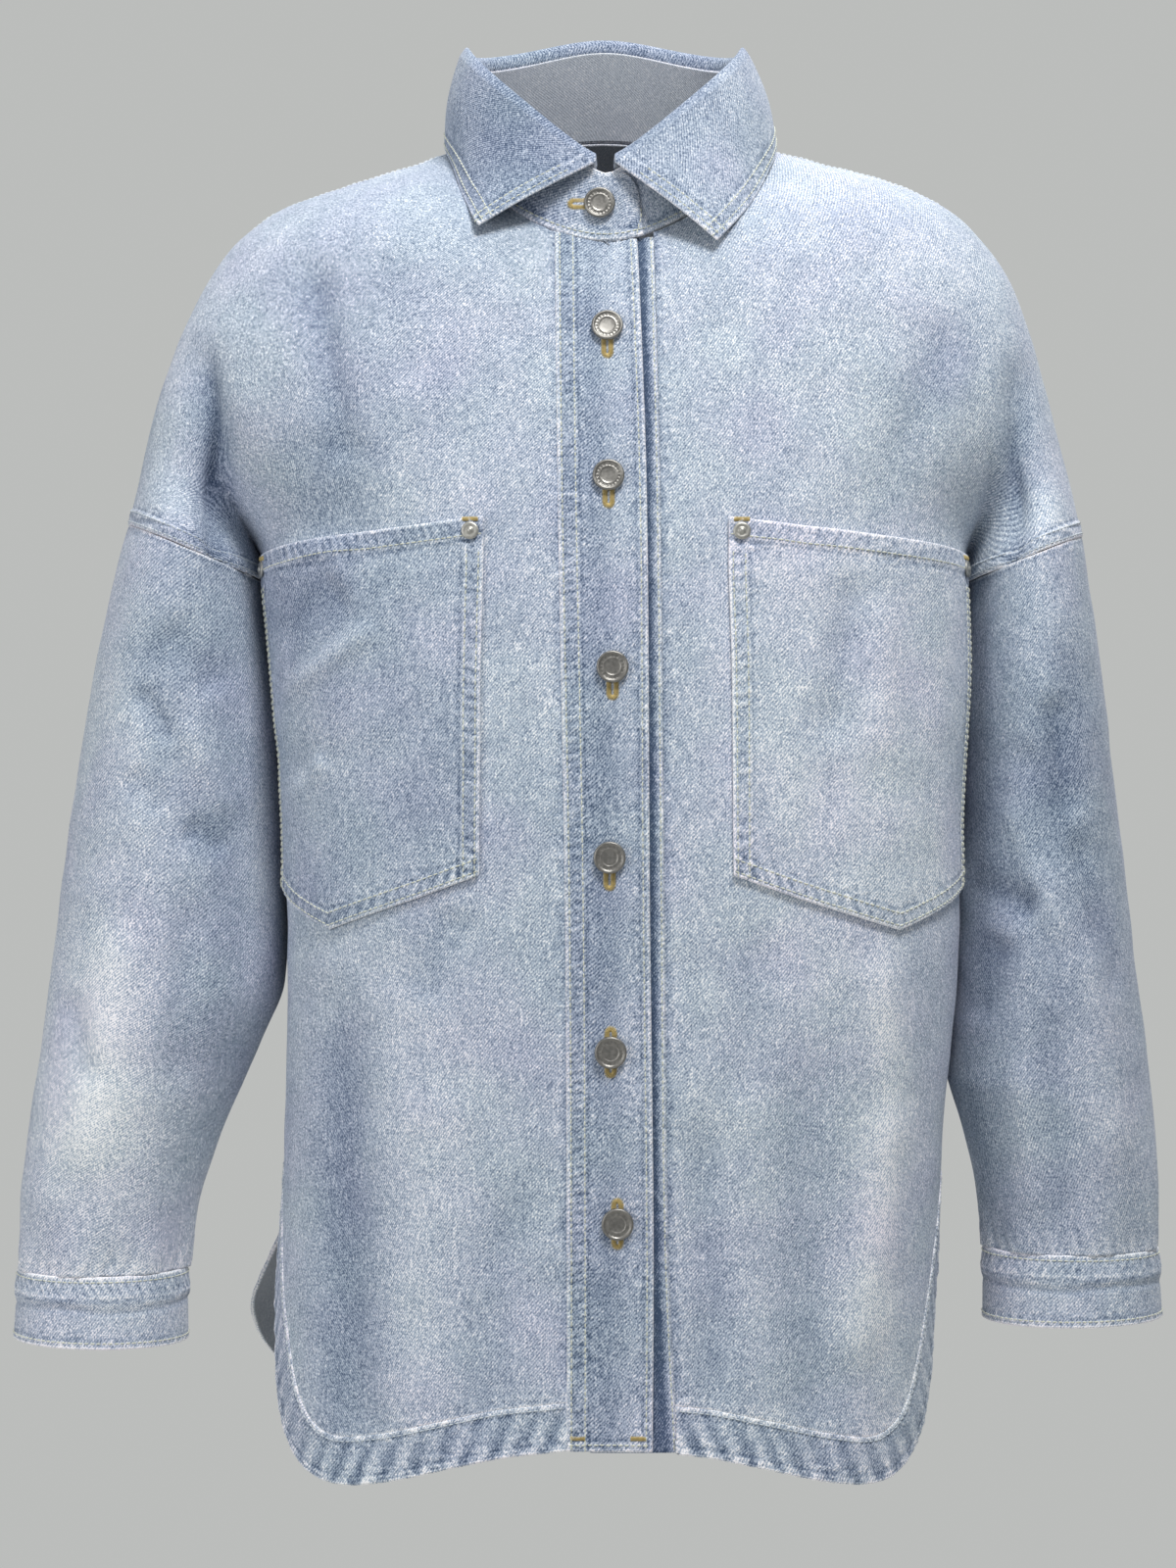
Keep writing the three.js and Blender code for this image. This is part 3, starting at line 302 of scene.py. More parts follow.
def grid_normals(grid, hand, wrap=False):
    """Unit normals of a grid of points: each is the sum of the cross products of the diagonals round it."""
    closed = np.concatenate([grid, grid[:, :1]], 1) if wrap else grid
    face = np.cross(closed[1:, 1:] - closed[:-1, :-1], closed[:-1, 1:] - closed[1:, :-1]) * hand
    face = np.nan_to_num(face)
    total = np.zeros_like(closed)
    for rows in (slice(None, -1), slice(1, None)):
        for columns in (slice(None, -1), slice(1, None)):
            total[rows, columns] += face
    if wrap:
        total[:, 0] += total[:, -1]
        total = total[:, :-1]
    return total / np.maximum(np.linalg.norm(total, axis=-1, keepdims=True), 1e-9)


def half_panel(side, face, across, arm_across, levels, shares, edge_turn):
    """One half of a front or the back. Rows run from the neckline to the hem, columns from the middle to the
    underarm fold and on over the arm to the shoulder seam; below the armhole the arm's columns are empty."""
    level = levels[:, None]
    start = edge_turn(read(YOKE, level, face["down"]), level)
    upper = yoke_point(side, face, start, np.concatenate([across, 1 + arm_across[1:]]), level)
    share = shares[1:, None]
    hem_start = read(HEM, HEM["turn"][0], face["deep"])
    first = edge_turn(mix(PIT_LEVEL, hem_start, share), 1.0)
    side_turn = 90 - np.degrees(PIT_HALF / TORSO["half" + side["letter"]][0]) * (1 - ease(share * PIT_CLOSES))
    turn = mix(first, side_turn, across)
    down = mix(PIT_LEVEL, read(HEM, np.maximum(turn, HEM["turn"][0]), face["deep"]), share)
    lower = torso_point(side, face, turn, down)
    blank = np.full((len(shares) - 1, len(arm_across) - 1, 3), np.nan)
    return np.concatenate([upper, np.concatenate([lower, blank], 1)])


BODY_FOLDS = table(
    # the face, the two ends of a fold's line, its half width and its depth; a negative depth stands out
    "face across down toAcross toDown half depth",
    (-1, -226, 104, -207, 236, 12, 5), (-1, 232, 112, 220, 240, 12, 5),
    (1, -222, 110, -204, 240, 13, 5), (1, 228, 116, 216, 240, 13, 5),
    (-1, -220, 116, -203, 330, 5, 6.5), (-1, 229, 150, 219, 250, 4.5, 3.6), (-1, 205, 180, 208, 300, 5, -1.6),
    (-1, -160, 66, -142, 176, 10, 4.6), (-1, -142, 165, -152, 226, 22, 3), (-1, 196, 96, 150, 200, 14, 2.5),
    (-1, -184, 279, -144, 252, 15, 3), (-1, -177, 311, -127, 276, 6, -2.6), (-1, -176, 346, -158, 352, 9, 1.8),
    (-1, -176, 368, -152, 346, 6, -2), (-1, 132, 238, 122, 330, 11, 2.4), (-1, 150, 250, 146, 340, 9, -1.8),
    (-1, -142, 452, -136, 706, 17, 4.5), (-1, -92, 500, -100, 690, 20, -1.6), (-1, -50, 560, -66, 700, 13, 2),
    (-1, 52, 520, 58, 690, 12, 3), (-1, 146, 440, 157, 545, 14, -2.8), (-1, 157, 525, 135, 660, 16, -4.2),
    (-1, 104, 480, 112, 700, 18, 3), (-1, 84, 430, 70, 520, 13, 1.6), (-1, -80, 420, -96, 470, 14, 1.8),
    (1, -120, 300, -128, 690, 22, 5), (1, 10, 240, -6, 690, 24, 4), (1, 126, 320, 136, 690, 22, 5),
    (1, -60, 160, -84, 300, 16, 3), (1, 64, 170, 92, 290, 16, 3), (1, -30, 420, -62, 560, 16, -3),
    (1, 66, 400, 58, 600, 18, -3.4), (1, -150, 130, -118, 220, 15, 3), (1, 150, 140, 120, 230, 14, 2.6),
)
SLEEVE_FOLDS = table(
    "face across down toAcross toDown half depth",
    (-1, -252, 262, -226, 390, 15, 3), (-1, 262, 268, 238, 400, 15, 2.5),
    (-1, -258, 304, -238, 333, 6, 2.8), (-1, -242, 268, -212, 304, 12, 3.4), (-1, -230, 380, -210, 394, 7, 2.8),
    (-1, -232, 318, -208, 372, 8, -2.4), (-1, -262, 350, -244, 372, 8, 2),
    (-1, -226, 412, -236, 520, 10, 2.4), (-1, -262, 420, -286, 560, 13, -2.4), (-1, -300, 470, -282, 520, 9, 2),
    (-1, 240, 306, 256, 370, 9, 3.6), (-1, 200, 412, 234, 426, 10, 5), (-1, 218, 438, 206, 486, 8, 4.4),
    (-1, 222, 330, 262, 400, 9, 2.4), (-1, 216, 360, 250, 440, 8, -2.4), (-1, 258, 380, 282, 470, 8, 2.2),
    (-1, 262, 430, 282, 560, 13, -2.4), (-1, 240, 470, 252, 600, 9, 2.4), (-1, 226, 500, 236, 590, 8, -1.8),
    (1, -236, 300, -272, 420, 15, 3.5), (1, 232, 290, 262, 420, 15, 3.5), (1, -220, 400, -262, 440, 10, 3.6),
    (1, 206, 396, 250, 432, 10, 3.6), (1, -250, 480, -286, 580, 12, 2.6), (1, 236, 470, 272, 580, 12, 2.6),
)
FOLD_TAPER = {"rate": 4, "last": 1.15}  # how soon a fold fades in, and where along its line it has faded out
FOLD_FACING = {"rate": 1.6, "start": 0.3}  # how it fades where the cloth turns away from its face
WAVES = ((0.9, 46, 0.6, 3), (0.45, 19, 1.0, 4))  # depth, size, how much they are drawn out downwards, and seed
WAVES_ROUND = 0.6  # how much of the depth front to back counts as a way across


def fold_depth(points, normals, folds):
    """How far the folds push each point in: a bell across each fold's line, faded at its ends and where the
    cloth turns away from the fold's face."""
    depth = np.zeros(points.shape[:-1])
    for face, across, down, to_across, to_down, half, deep in zip(*folds.values()):
        shows = np.clip(face * normals[..., 1] * FOLD_FACING["rate"] - FOLD_FACING["start"], 0, 1)
        line = np.array([to_across - across, to_down - down])
        length = np.hypot(*line)
        x, z = points[..., 0] - across, -points[..., 2] - down
        along = (x * line[0] + z * line[1]) / length ** 2
        off = (x * line[1] - z * line[0]) / length
        taper = ease(along * FOLD_TAPER["rate"]) * ease((FOLD_TAPER["last"] - along) * FOLD_TAPER["rate"])
        depth += deep * shows * taper * np.exp(-((off / half) ** 2))
    return depth


def wander(across, down, size, seed):
    """Smooth uneven values from -1 to 1: random numbers on a square net of the given size, eased in between."""
    random = np.random.default_rng(seed).uniform(-1, 1, (64, 64))
    across, down = np.broadcast_arrays(np.nan_to_num(across) / size, np.nan_to_num(down) / size)
    i, j = np.floor(across).astype(int), np.floor(down).astype(int)
    right, low = ease(across - i), ease(down - j)
    top = mix(random[i % 64, j % 64], random[(i + 1) % 64, j % 64], right)
    bottom = mix(random[i % 64, (j + 1) % 64], random[(i + 1) % 64, (j + 1) % 64], right)
    return mix(top, bottom, low)


def soft_waves(points):
    """How far the cloth's small uneven waves push each point in, by where it lies."""
    across, down = points[..., 0] + points[..., 1] * WAVES_ROUND, points[..., 2]
    return sum(depth * wander(across, down * drawn, size, seed) for depth, size, drawn, seed in WAVES)


BEYOND = -4  # a gap that is off the cloth, so that a strip runs right over its edge
BAR_SLANT = 0.45  # how far the bars of a seam lean for each millimetre away from its edge
PACE = {"amount": 1.7, "over": 2.6}  # how much the bars run ahead and behind, over how many of them
STRENGTH = {"usual": 0.65, "amount": 0.35, "over": 1.9}
# A stitched strip's wear at its edge, at its far side, between them and in its bars; the pucker's reach past it.
FELL = {"edge": 1.4, "far": 0.7, "inner": 0.13, "bars": 0.34, "beyond": 6}


def ladder(run, pitch, seed, off=0.0):
    """Uneven bars along a seam from -1 to 1, as a sine of the run that wanders in pace and in strength."""
    pace = PACE["amount"] * wander(run, off, pitch * PACE["over"], seed)
    uneven = STRENGTH["amount"] * wander(run, off, pitch * STRENGTH["over"], seed + 1)
    return np.sin(2 * np.pi * run / pitch + pace) * (STRENGTH["usual"] + uneven)


def bar(gap, near, far, soft=0.8):
    """1 where the gap lies between near and far, falling softly to 0 on both sides."""
    return ease((gap - near) / soft + 0.5) * ease((far - gap) / soft + 0.5)


WEAR_AND_SHADE_PATCHES = table(
    # broad patches where the dye is more worn or, with a negative amount, less; those on the collar leaf on the
    # wearer's right, over that shoulder and down the inner sides of both arms are painted shade, and the two
    # narrow streaks low on the front are painted shade and highlight along its folds: middle, spread and amount
    "face across down halfAcross halfDown amount",
    (-1, -165, 60, 60, 70, -0.14), (-1, 150, 60, 70, 70, 0.06), (-1, -196, 190, 40, 60, -0.02),
    (-1, -110, 150, 40, 80, -0.12), (-1, -170, 262, 60, 34, -0.2), (-1, -120, 380, 60, 60, -0.04),
    (-1, 150, 200, 80, 90, 0.1), (-1, 110, 340, 50, 60, 0.08), (-1, -90, 520, 40, 90, 0.03),
    (-1, 90, 540, 50, 100, 0.16), (-1, 150, 600, 13, 120, 0.12), (-1, -250, 250, 26, 60, -0.1),
    (-1, -56, 5, 34, 40, -0.46), (-1, 44, 5, 34, 40, -0.1), (-1, -210, 380, 12, 110, -0.36),
    (-1, 212, 400, 12, 110, -0.2), (-1, 232, 220, 26, 60, 0.14), (-1, -148, 600, 13, 130, -0.2),
    (-1, -276, 530, 34, 90, 0.32), (-1, 250, 330, 50, 110, -0.1), (-1, 270, 560, 40, 60, 0.08),
    (1, -150, 80, 80, 70, 0.12), (1, 150, 80, 80, 70, 0.12), (1, 0, 400, 90, 160, 0.06),
    (1, -270, 430, 40, 60, 0.16), (1, 260, 430, 40, 60, 0.16),
)
PATCH_ROUND = 40  # depth over which a patch ends where the cloth goes round the side


def patch_wear_and_shade(points):
    """How much paler each point is, as worn dye and as painted light and shade: a sum of bells over the points
    that lie on each patch's face.
    """
    x, front, down = points[..., 0], points[..., 1], -points[..., 2]
    amount = np.zeros(points.shape[:-1])
    for face, across, patch_down, half_across, half_down, deep in zip(*WEAR_AND_SHADE_PATCHES.values()):
        bell = np.exp(-((x - across) / half_across) ** 2 - ((down - patch_down) / half_down) ** 2)
        amount += deep * bell * ease(0.5 + face * front / PATCH_ROUND)
    return amount


def felled(gaps, edge, width, proud, pitch, seed, rope=0.3, pale=0.3, dark=0.34):
    """A stitched strip beside an edge, as height, wear with painted shade, and pucker: it stands proud in uneven
    slanting bars of darker dye, is worn pale at its edge and along its far side, and the cloth beside it has a
    dark line that is partly unworn dye and partly painted shade beside the raised strip."""
    gap, run = gaps[edge], gaps["left" if edge in ("top", "bottom") else "top"]
    strip = bar(gap, BEYOND, width)
    bars = strip * ladder(run + gap * BAR_SLANT, pitch, seed)
    edges = FELL["far"] * bar(gap, width - 1.2, width + 0.3, 0.5) + FELL["edge"] * bar(gap, BEYOND, 0.9, 0.6)
    inner = bar(gap, 1.2, width - 1, 1)
    # the dark line beside the strip: partly unworn dye, partly painted shade
    line = bar(gap, width + 0.6, width + 2.2, 0.7)
    wear_and_shade = pale * edges - FELL["inner"] * inner + FELL["bars"] * bars * inner - dark * line
    return np.stack([proud * strip + rope * bars, wear_and_shade, bar(gap, BEYOND, width + FELL["beyond"], 4)])


def colour_marks(wear_and_shade, height=0.0, pucker=0.0):
    """Marks that change the colour, for wear and for painted shade, and where given the height and the pucker
    too, in the order of felled.
    """
    return np.stack(np.broadcast_arrays(height, wear_and_shade, pucker))


def run_length(grid, axis):
    """Distance along each row or column of a grid from its first point, in millimetres."""
    steps = np.nan_to_num(np.linalg.norm(np.diff(grid, axis=axis), axis=-1))
    return np.insert(np.cumsum(steps, axis=axis), 0, 0, axis=axis)


def gaps_of(grid):
    """How far each grid point lies from the grid's four edges, along its own row and column."""
    run, down = run_length(grid, 1), run_length(grid, 0)
    return {"left": run, "right": run.max(1, keepdims=True) - run, "top": down, "bottom": down.max(0) - down}


def rim_faces(faces, outer, inner, normals, bulge):
    """The open edges of a wall of cloth: each gets a middle row, moved out by the bulge so that it is rounded.
    Returns the middle points and the faces, numbered after the outer and the inner points."""
    start, end = faces.reshape(-1), np.roll(faces, -1, 1).reshape(-1)
    count = len(outer)
    open_edge = ~np.isin(start * count + end, end * count + start)
    start, end = start[open_edge], end[open_edge]
    out = np.zeros_like(outer)
    side_way = np.cross(outer[end] - outer[start], normals[start])
    side_way /= np.maximum(np.linalg.norm(side_way, axis=1, keepdims=True), 1e-9)
    np.add.at(out, start, side_way)
    np.add.at(out, end, side_way)
    used = np.unique(start)
    out = out[used] / np.maximum(np.linalg.norm(out[used], axis=1, keepdims=True), 1e-9)
    number = np.zeros(count, int)
    number[used] = np.arange(len(used)) + 2 * count
    middle = (outer[used] + inner[used]) / 2 + out * bulge
    first = np.stack([end, start, number[start], number[end]], 1)
    second = np.stack([number[end], number[start], start + count, end + count], 1)
    return middle, np.concatenate([first, second]), used


def set_attribute(made, name, parts):
    """Gives a piece one number at each point, from arrays that follow each other."""
    made.data.attributes.new(name, "FLOAT", "POINT").data.foreach_set("value", np.concatenate(parts))


def panel_map(grid, face):
    """A flat map of a front or the back that has no pinched places where the body parts from the arm: across
    goes with x and, towards the sides, with y as well; up goes with z and a share of y."""
    x, y, z = np.moveaxis(grid, -1, 0)
    across = x + np.tanh(x / MAP["middle"]) * (MAP["deep"] - face["way"] * y)
    return np.stack([-face["way"] * across, z - face["way"] * MAP["tip"] * y], -1)


def cloth_piece(name, grid, material, marks=0.0, hand=1, wrap=False, thick=DENIM, lift=0.0, folds=None,
                laid=None):
    """A closed wall of cloth on a grid of points: the outer side with its folds and the height of its seam
    marks, the inner side one thickness further in, and rounded edges. Returns the object, and its outer grid
    and normals as the surface that stitches lie on."""
    height, wear_and_shade, pucker = np.zeros((3,) + grid.shape[:2]) + marks
    # the broad patches add worn dye and also painted shade and highlight
    wear_and_shade = wear_and_shade + patch_wear_and_shade(grid)
    if folds is not None:
        first = grid_normals(grid, hand, wrap)
        depth = fold_depth(grid, first, folds)
        # folds darken their valleys and pale their ridges: partly unfaded dye, partly painted shade and
        # highlight
        wear_and_shade = wear_and_shade - FOLD_DYE_AND_SHADE * depth
        grid = grid - first * (depth + soft_waves(grid))[..., None]
    normals = grid_normals(grid, hand, wrap)
    outer = grid + normals * (lift + height)[..., None]
    inner = grid + normals * (lift - thick)
    rows, columns = grid.shape[:2]
    index = np.arange(rows * columns).reshape(rows, columns)
    right = np.roll(index, -1, 1) if wrap else index[:, 1:]
    left = index if wrap else index[:, :-1]
    faces = np.stack([left[:-1], left[1:], right[1:], right[:-1]], -1).reshape(-1, 4)
    real = ~np.isnan(outer.reshape(-1, 3)[:, 0])
    faces = faces[real[faces].all(1)]
    if hand < 0:
        faces = faces[:, ::-1]
    kept = np.unique(faces)
    number = np.zeros(rows * columns, int)
    number[kept] = np.arange(len(kept))
    faces = number[faces]
    flat = [part.reshape(-1, 3)[kept] for part in (outer, inner, normals)]
    middle, rim, used = rim_faces(faces, *flat, RIM_BULGE * thick)
    count = len(kept)
    points = np.concatenate([flat[0], flat[1], middle])
    all_faces = np.concatenate([faces, faces[:, ::-1] + count, rim])

    made = smooth_mesh(name + "_cloth", points, all_faces, material)
    runs = np.stack([run_length(grid, 1) * hand, -run_length(grid, 0)], -1) if laid is None else laid
    place = runs.reshape(-1, 2)[kept] * MM
    place = np.concatenate([place, place, place[used]])
    made.data.uv_layers.new(name="cloth").data.foreach_set("uv", place[all_faces.ravel()].ravel())
    wear_and_shade_values, gathered = wear_and_shade.reshape(-1)[kept], pucker.reshape(-1)[kept]
    # the wear attribute holds worn dye together with painted shade and highlight; the rims are worn paler
    set_attribute(made, "wear_and_shade", [wear_and_shade_values, 0 * wear_and_shade_values, wear_and_shade_values[used] + RIM_WEAR])
    set_attribute(made, "pucker", [gathered, 0 * wear_and_shade_values, gathered[used]])
    set_attribute(made, "inside", [0 * wear_and_shade_values, 0 * wear_and_shade_values + 1, 0 * wear_and_shade_values[used]])
    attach(made, "root")
    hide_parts(name)
    return made, (outer, normals)


def add_node(tree, kind, inputs=(), **settings):
    """Adds a shader node with its settings, each input given as a value or as the output that feeds it."""
    node = tree.nodes.new("ShaderNode" + kind)
    for name, value in settings.items():
        setattr(node, name, value)
    for name, value in dict(inputs).items():
        if isinstance(value, bpy.types.NodeSocket):
            tree.links.new(value, node.inputs[name])
        else:
            node.inputs[name].default_value = value
    return node


def reckon(tree, operation, *values):
    """One step of arithmetic between outputs and numbers."""
    return add_node(tree, "Math", enumerate(values), operation=operation).outputs[0]


def sum_of(tree, *terms):
    """The sum of terms, each an output and the weight that it is multiplied by."""
    total = 0.0
    for output, weight in terms:
        total = reckon(tree, "MULTIPLY_ADD", output, weight, total)
    return total


def denim_group():
    """Washed twill: diagonal ribs on the cloth's own UV map, and on Object coordinates the salt and pepper of
    pale and blue yarns, thick places in the yarn, and faded patches, all added up on one scale from blue to pale
    that the wear and the painted shade move up or down."""
    tree = bpy.data.node_groups.new("washed_denim", "ShaderNodeTree")
    for name in ("Fade", "Shift"):
        tree.interface.new_socket(name, in_out="INPUT", socket_type="NodeSocketFloat")
    for name, kind in (("Color", "Color"), ("Roughness", "Float"), ("Height", "Float")):
        tree.interface.new_socket(name, in_out="OUTPUT", socket_type="NodeSocket" + kind)
    given = tree.nodes.new("NodeGroupInput").outputs
    laid, spot = (add_node(tree, "Mapping", {"Vector": source, "Scale": (1 / MM,) * 3}).outputs["Vector"]
                  for source in (add_node(tree, "UVMap", uv_map="cloth").outputs["UV"],
                                 add_node(tree, "TexCoord").outputs["Object"]))
    place = add_node(tree, "VectorMath", {0: spot, 1: given["Shift"]}, operation="ADD").outputs["Vector"]

    def noise(size, detail=2.0, stretch=(1, 1, 1)):
        pulled = add_node(tree, "Mapping", {"Vector": place, "Scale": stretch}).outputs["Vector"]
        settings = {"Vector": pulled, "Scale": 1 / size, "Detail": detail, "Roughness": 0.6}
        return reckon(tree, "SUBTRACT", add_node(tree, "TexNoise", settings).outputs[0], 0.5)

    along, up = list(add_node(tree, "SeparateXYZ", {"Vector": laid}).outputs)[:2]
    turn, pace = np.radians(TWILL["slope"]), 2 * np.pi / TWILL["pitch"]
    drift = noise(7, 1.0)
    phase = sum_of(tree, (along, -pace * np.sin(turn)), (up, pace * np.cos(turn)), (drift, TWILL["drift"]))
    ribs = reckon(tree, "SINE", phase)
    yarn = noise(0.95, 2.0, (1.1, 1.1, 0.8))
    grain = noise(4.2, 2.0, (1.2, 1.2, 0.7))
    slub = reckon(tree, "MAXIMUM", noise(1.0, 1.0, (1.5, 1.5, 0.1)), 0.0)
    mottle = noise(21, 3.0, (1.2, 1.2, 0.8))
    cloud = noise(95, 2.0)
    # the wear attribute brings worn dye and also painted shade and highlight from folds, creases and overlaps
    wear_and_shade, inside, gathered = (add_node(tree, "Attribute", attribute_name=name).outputs["Fac"]
                              for name in ("wear_and_shade", "inside", "pucker"))
    pucker = reckon(tree, "MULTIPLY", noise(3.6, 1.5), gathered)
    fade = sum_of(tree, (given["Fade"], 1.0), (wear_and_shade, 0.5), (yarn, 1.75), (grain, 0.26), (ribs, 0.14),
                  (slub, 0.6), (mottle, 0.22), (cloud, 0.24), (pucker, 0.6))
    ramp = add_node(tree, "ValToRGB", {"Fac": fade})
    stops = ramp.color_ramp.elements
    made = [stops[0], stops[1]] + [stops.new(0.5) for _ in DENIM_SHADES[2:]]
    for stop, (level, color) in zip(made, DENIM_SHADES):
        stop.position = level
        stop.color = color + (1,)
    lilac = reckon(tree, "MULTIPLY_ADD", noise(58, 1.0), 2.2, 0.3)
    tinted = add_node(tree, "Mix", {"Factor": lilac, 6: ramp.outputs["Color"], 7: DENIM_LILAC},
                      data_type="RGBA", blend_type="MULTIPLY").outputs[2]
    pale = add_node(tree, "Mix", {"Factor": reckon(tree, "MULTIPLY", inside, 0.75), 6: tinted, 7: DENIM_INSIDE},
                    data_type="RGBA").outputs[2]
    rough = reckon(tree, "MULTIPLY_ADD", yarn, 0.25, 0.86)
    height = sum_of(tree, (ribs, 0.22), (yarn, 0.9), (grain, 0.5), (slub, 0.8), (pucker, 4.0))
    put = tree.nodes.new("NodeGroupOutput").inputs
    for made, name in ((pale, "Color"), (rough, "Roughness"), (height, "Height")):
        tree.links.new(made, put[name])
    return tree


def denim_material(name, fade, shift):
    """A denim of its own fade: the twill group under a matt shader with a little sheen, its yarns as bump."""
    made = bpy.data.materials.new(name)
    made.use_nodes = True
    tree, shader = made.node_tree, made.node_tree.nodes["Principled BSDF"]
    cloth = add_node(tree, "Group", node_tree=WASHED_DENIM)
    cloth.inputs["Fade"].default_value = fade
    cloth.inputs["Shift"].default_value = shift
    bump = add_node(tree, "Bump", {"Height": cloth.outputs["Height"], "Strength": 0.55, "Distance": 0.35 * MM})
    for output, name in ((cloth.outputs["Color"], "Base Color"), (cloth.outputs["Roughness"], "Roughness"),
                         (bump.outputs["Normal"], "Normal")):
        tree.links.new(output, shader.inputs[name])
    for name, value in {"Specular IOR Level": 0.2, "Sheen Weight": 0.12, "Sheen Roughness": 0.6}.items():
        shader.inputs[name].default_value = value
    return made


def plain_material(name, color, roughness, metallic=0.0, grain=0.0, size=1.0):
    """A material of one colour, made lighter and darker by a fine grain on the object's own coordinates."""
    made = bpy.data.materials.new(name)
    made.use_nodes = True
    tree, shader = made.node_tree, made.node_tree.nodes["Principled BSDF"]
    spot = add_node(tree, "TexCoord").outputs["Object"]
    speck = add_node(tree, "TexNoise", {"Vector": spot, "Scale": 1 / (size * MM), "Detail": 3.0}).outputs[0]
    dark, light = ([channel * (1 + way * grain) for channel in color] + [1] for way in (-1, 1))
    mixed = add_node(tree, "Mix", {"Factor": speck, 6: dark, 7: light}, data_type="RGBA")
    tree.links.new(mixed.outputs[2], shader.inputs["Base Color"])
    rough = reckon(tree, "MULTIPLY_ADD", speck, grain, roughness - grain / 2)
    tree.links.new(rough, shader.inputs["Roughness"])
    shader.inputs["Metallic"].default_value = metallic
    return made


MAP = {"middle": 60, "deep": 120, "tip": 0.6}  # half width of the middle, and how the map grows and tips with y
FOLD_DYE_AND_SHADE = 0.075  # darker per mm of fold depth: partly unfaded dye, partly painted shade; ridges get painted highlight
RIM_WEAR = 0.6  # how much paler the worn edges are
RIM_BULGE = 0.35  # how round the edges are, as a share of the cloth's thickness
TWILL = {"slope": 51, "pitch": 1.4, "drift": 5.0}  # degrees from level, rib to rib, and unevenness
DENIM_SHADES = [
    # place on the scale from blue to pale, and colour, with the scale's two ends first
    (0.0, (0.05, 0.085, 0.15)), (1.0, (0.8, 0.81, 0.75)), (0.22, (0.14, 0.19, 0.275)),
    (0.42, (0.27, 0.335, 0.43)), (0.62, (0.43, 0.505, 0.6)), (0.8, (0.6, 0.665, 0.73)),
]
DENIM_LILAC = (1.02, 0.955, 1.03, 1)  # tint of the patches that have gone a little lilac
DENIM_INSIDE = (0.3, 0.315, 0.34, 1)  # the grey inner side, where the pale yarns lie
WASHED_DENIM = denim_group()
denim = denim_material("denim_body", 0.6, 0.0)

STITCH = {"pitch": 3.3, "length": 3.0, "radius": 0.46, "sides": 3}
STITCH_RINGS = table("along out size", (-0.5, -0.7, 0.7), (-0.22, 0.35, 1), (0.22, 0.35, 1), (0.5, -0.7, 0.7))
thread_cream = plain_material("thread_cream", (0.74, 0.75, 0.62), 0.75, grain=0.25)
thread_blue = plain_material("thread_blue", (0.6, 0.65, 0.68), 0.8, grain=0.25)


def crossing(run, distance, axis):
    """For each line of a grid along the axis, the fractional place where its run reaches the distance."""
    run = np.moveaxis(run, axis, 0)
    before = np.clip((run < distance).sum(0) - 1, 0, len(run) - 2)[None]
    low, high = np.take_along_axis(run, before, 0)[0], np.take_along_axis(run, before + 1, 0)[0]
    return before[0] + np.clip((distance - low) / np.maximum(high - low, 1e-6), 0, 1)


def seam_path(surface, edge, distance, part=slice(None)):
    """The line on a piece that keeps a distance from one edge of its grid, as points and normals, sampled
    between the four nearest grid points."""
    outer, normals = surface
    axis = 1 if edge in ("left", "right") else 0
    run = run_length(outer, axis)
    if edge in ("right", "bottom"):
        distance = run.max(axis) - distance
    across = crossing(run, distance, axis)[part]
    other = np.arange(outer.shape[1 - axis], dtype=float)[part]
    row, column = (other, across) if axis == 1 else (across, other)
    i = np.clip(row.astype(int), 0, outer.shape[0] - 2)
    j = np.clip(column.astype(int), 0, outer.shape[1] - 2)
    low, right = (row - i)[:, None], (column - j)[:, None]
    return [mix(mix(at[i, j], at[i, j + 1], right), mix(at[i + 1, j], at[i + 1, j + 1], right), low)
            for at in (outer, normals)]


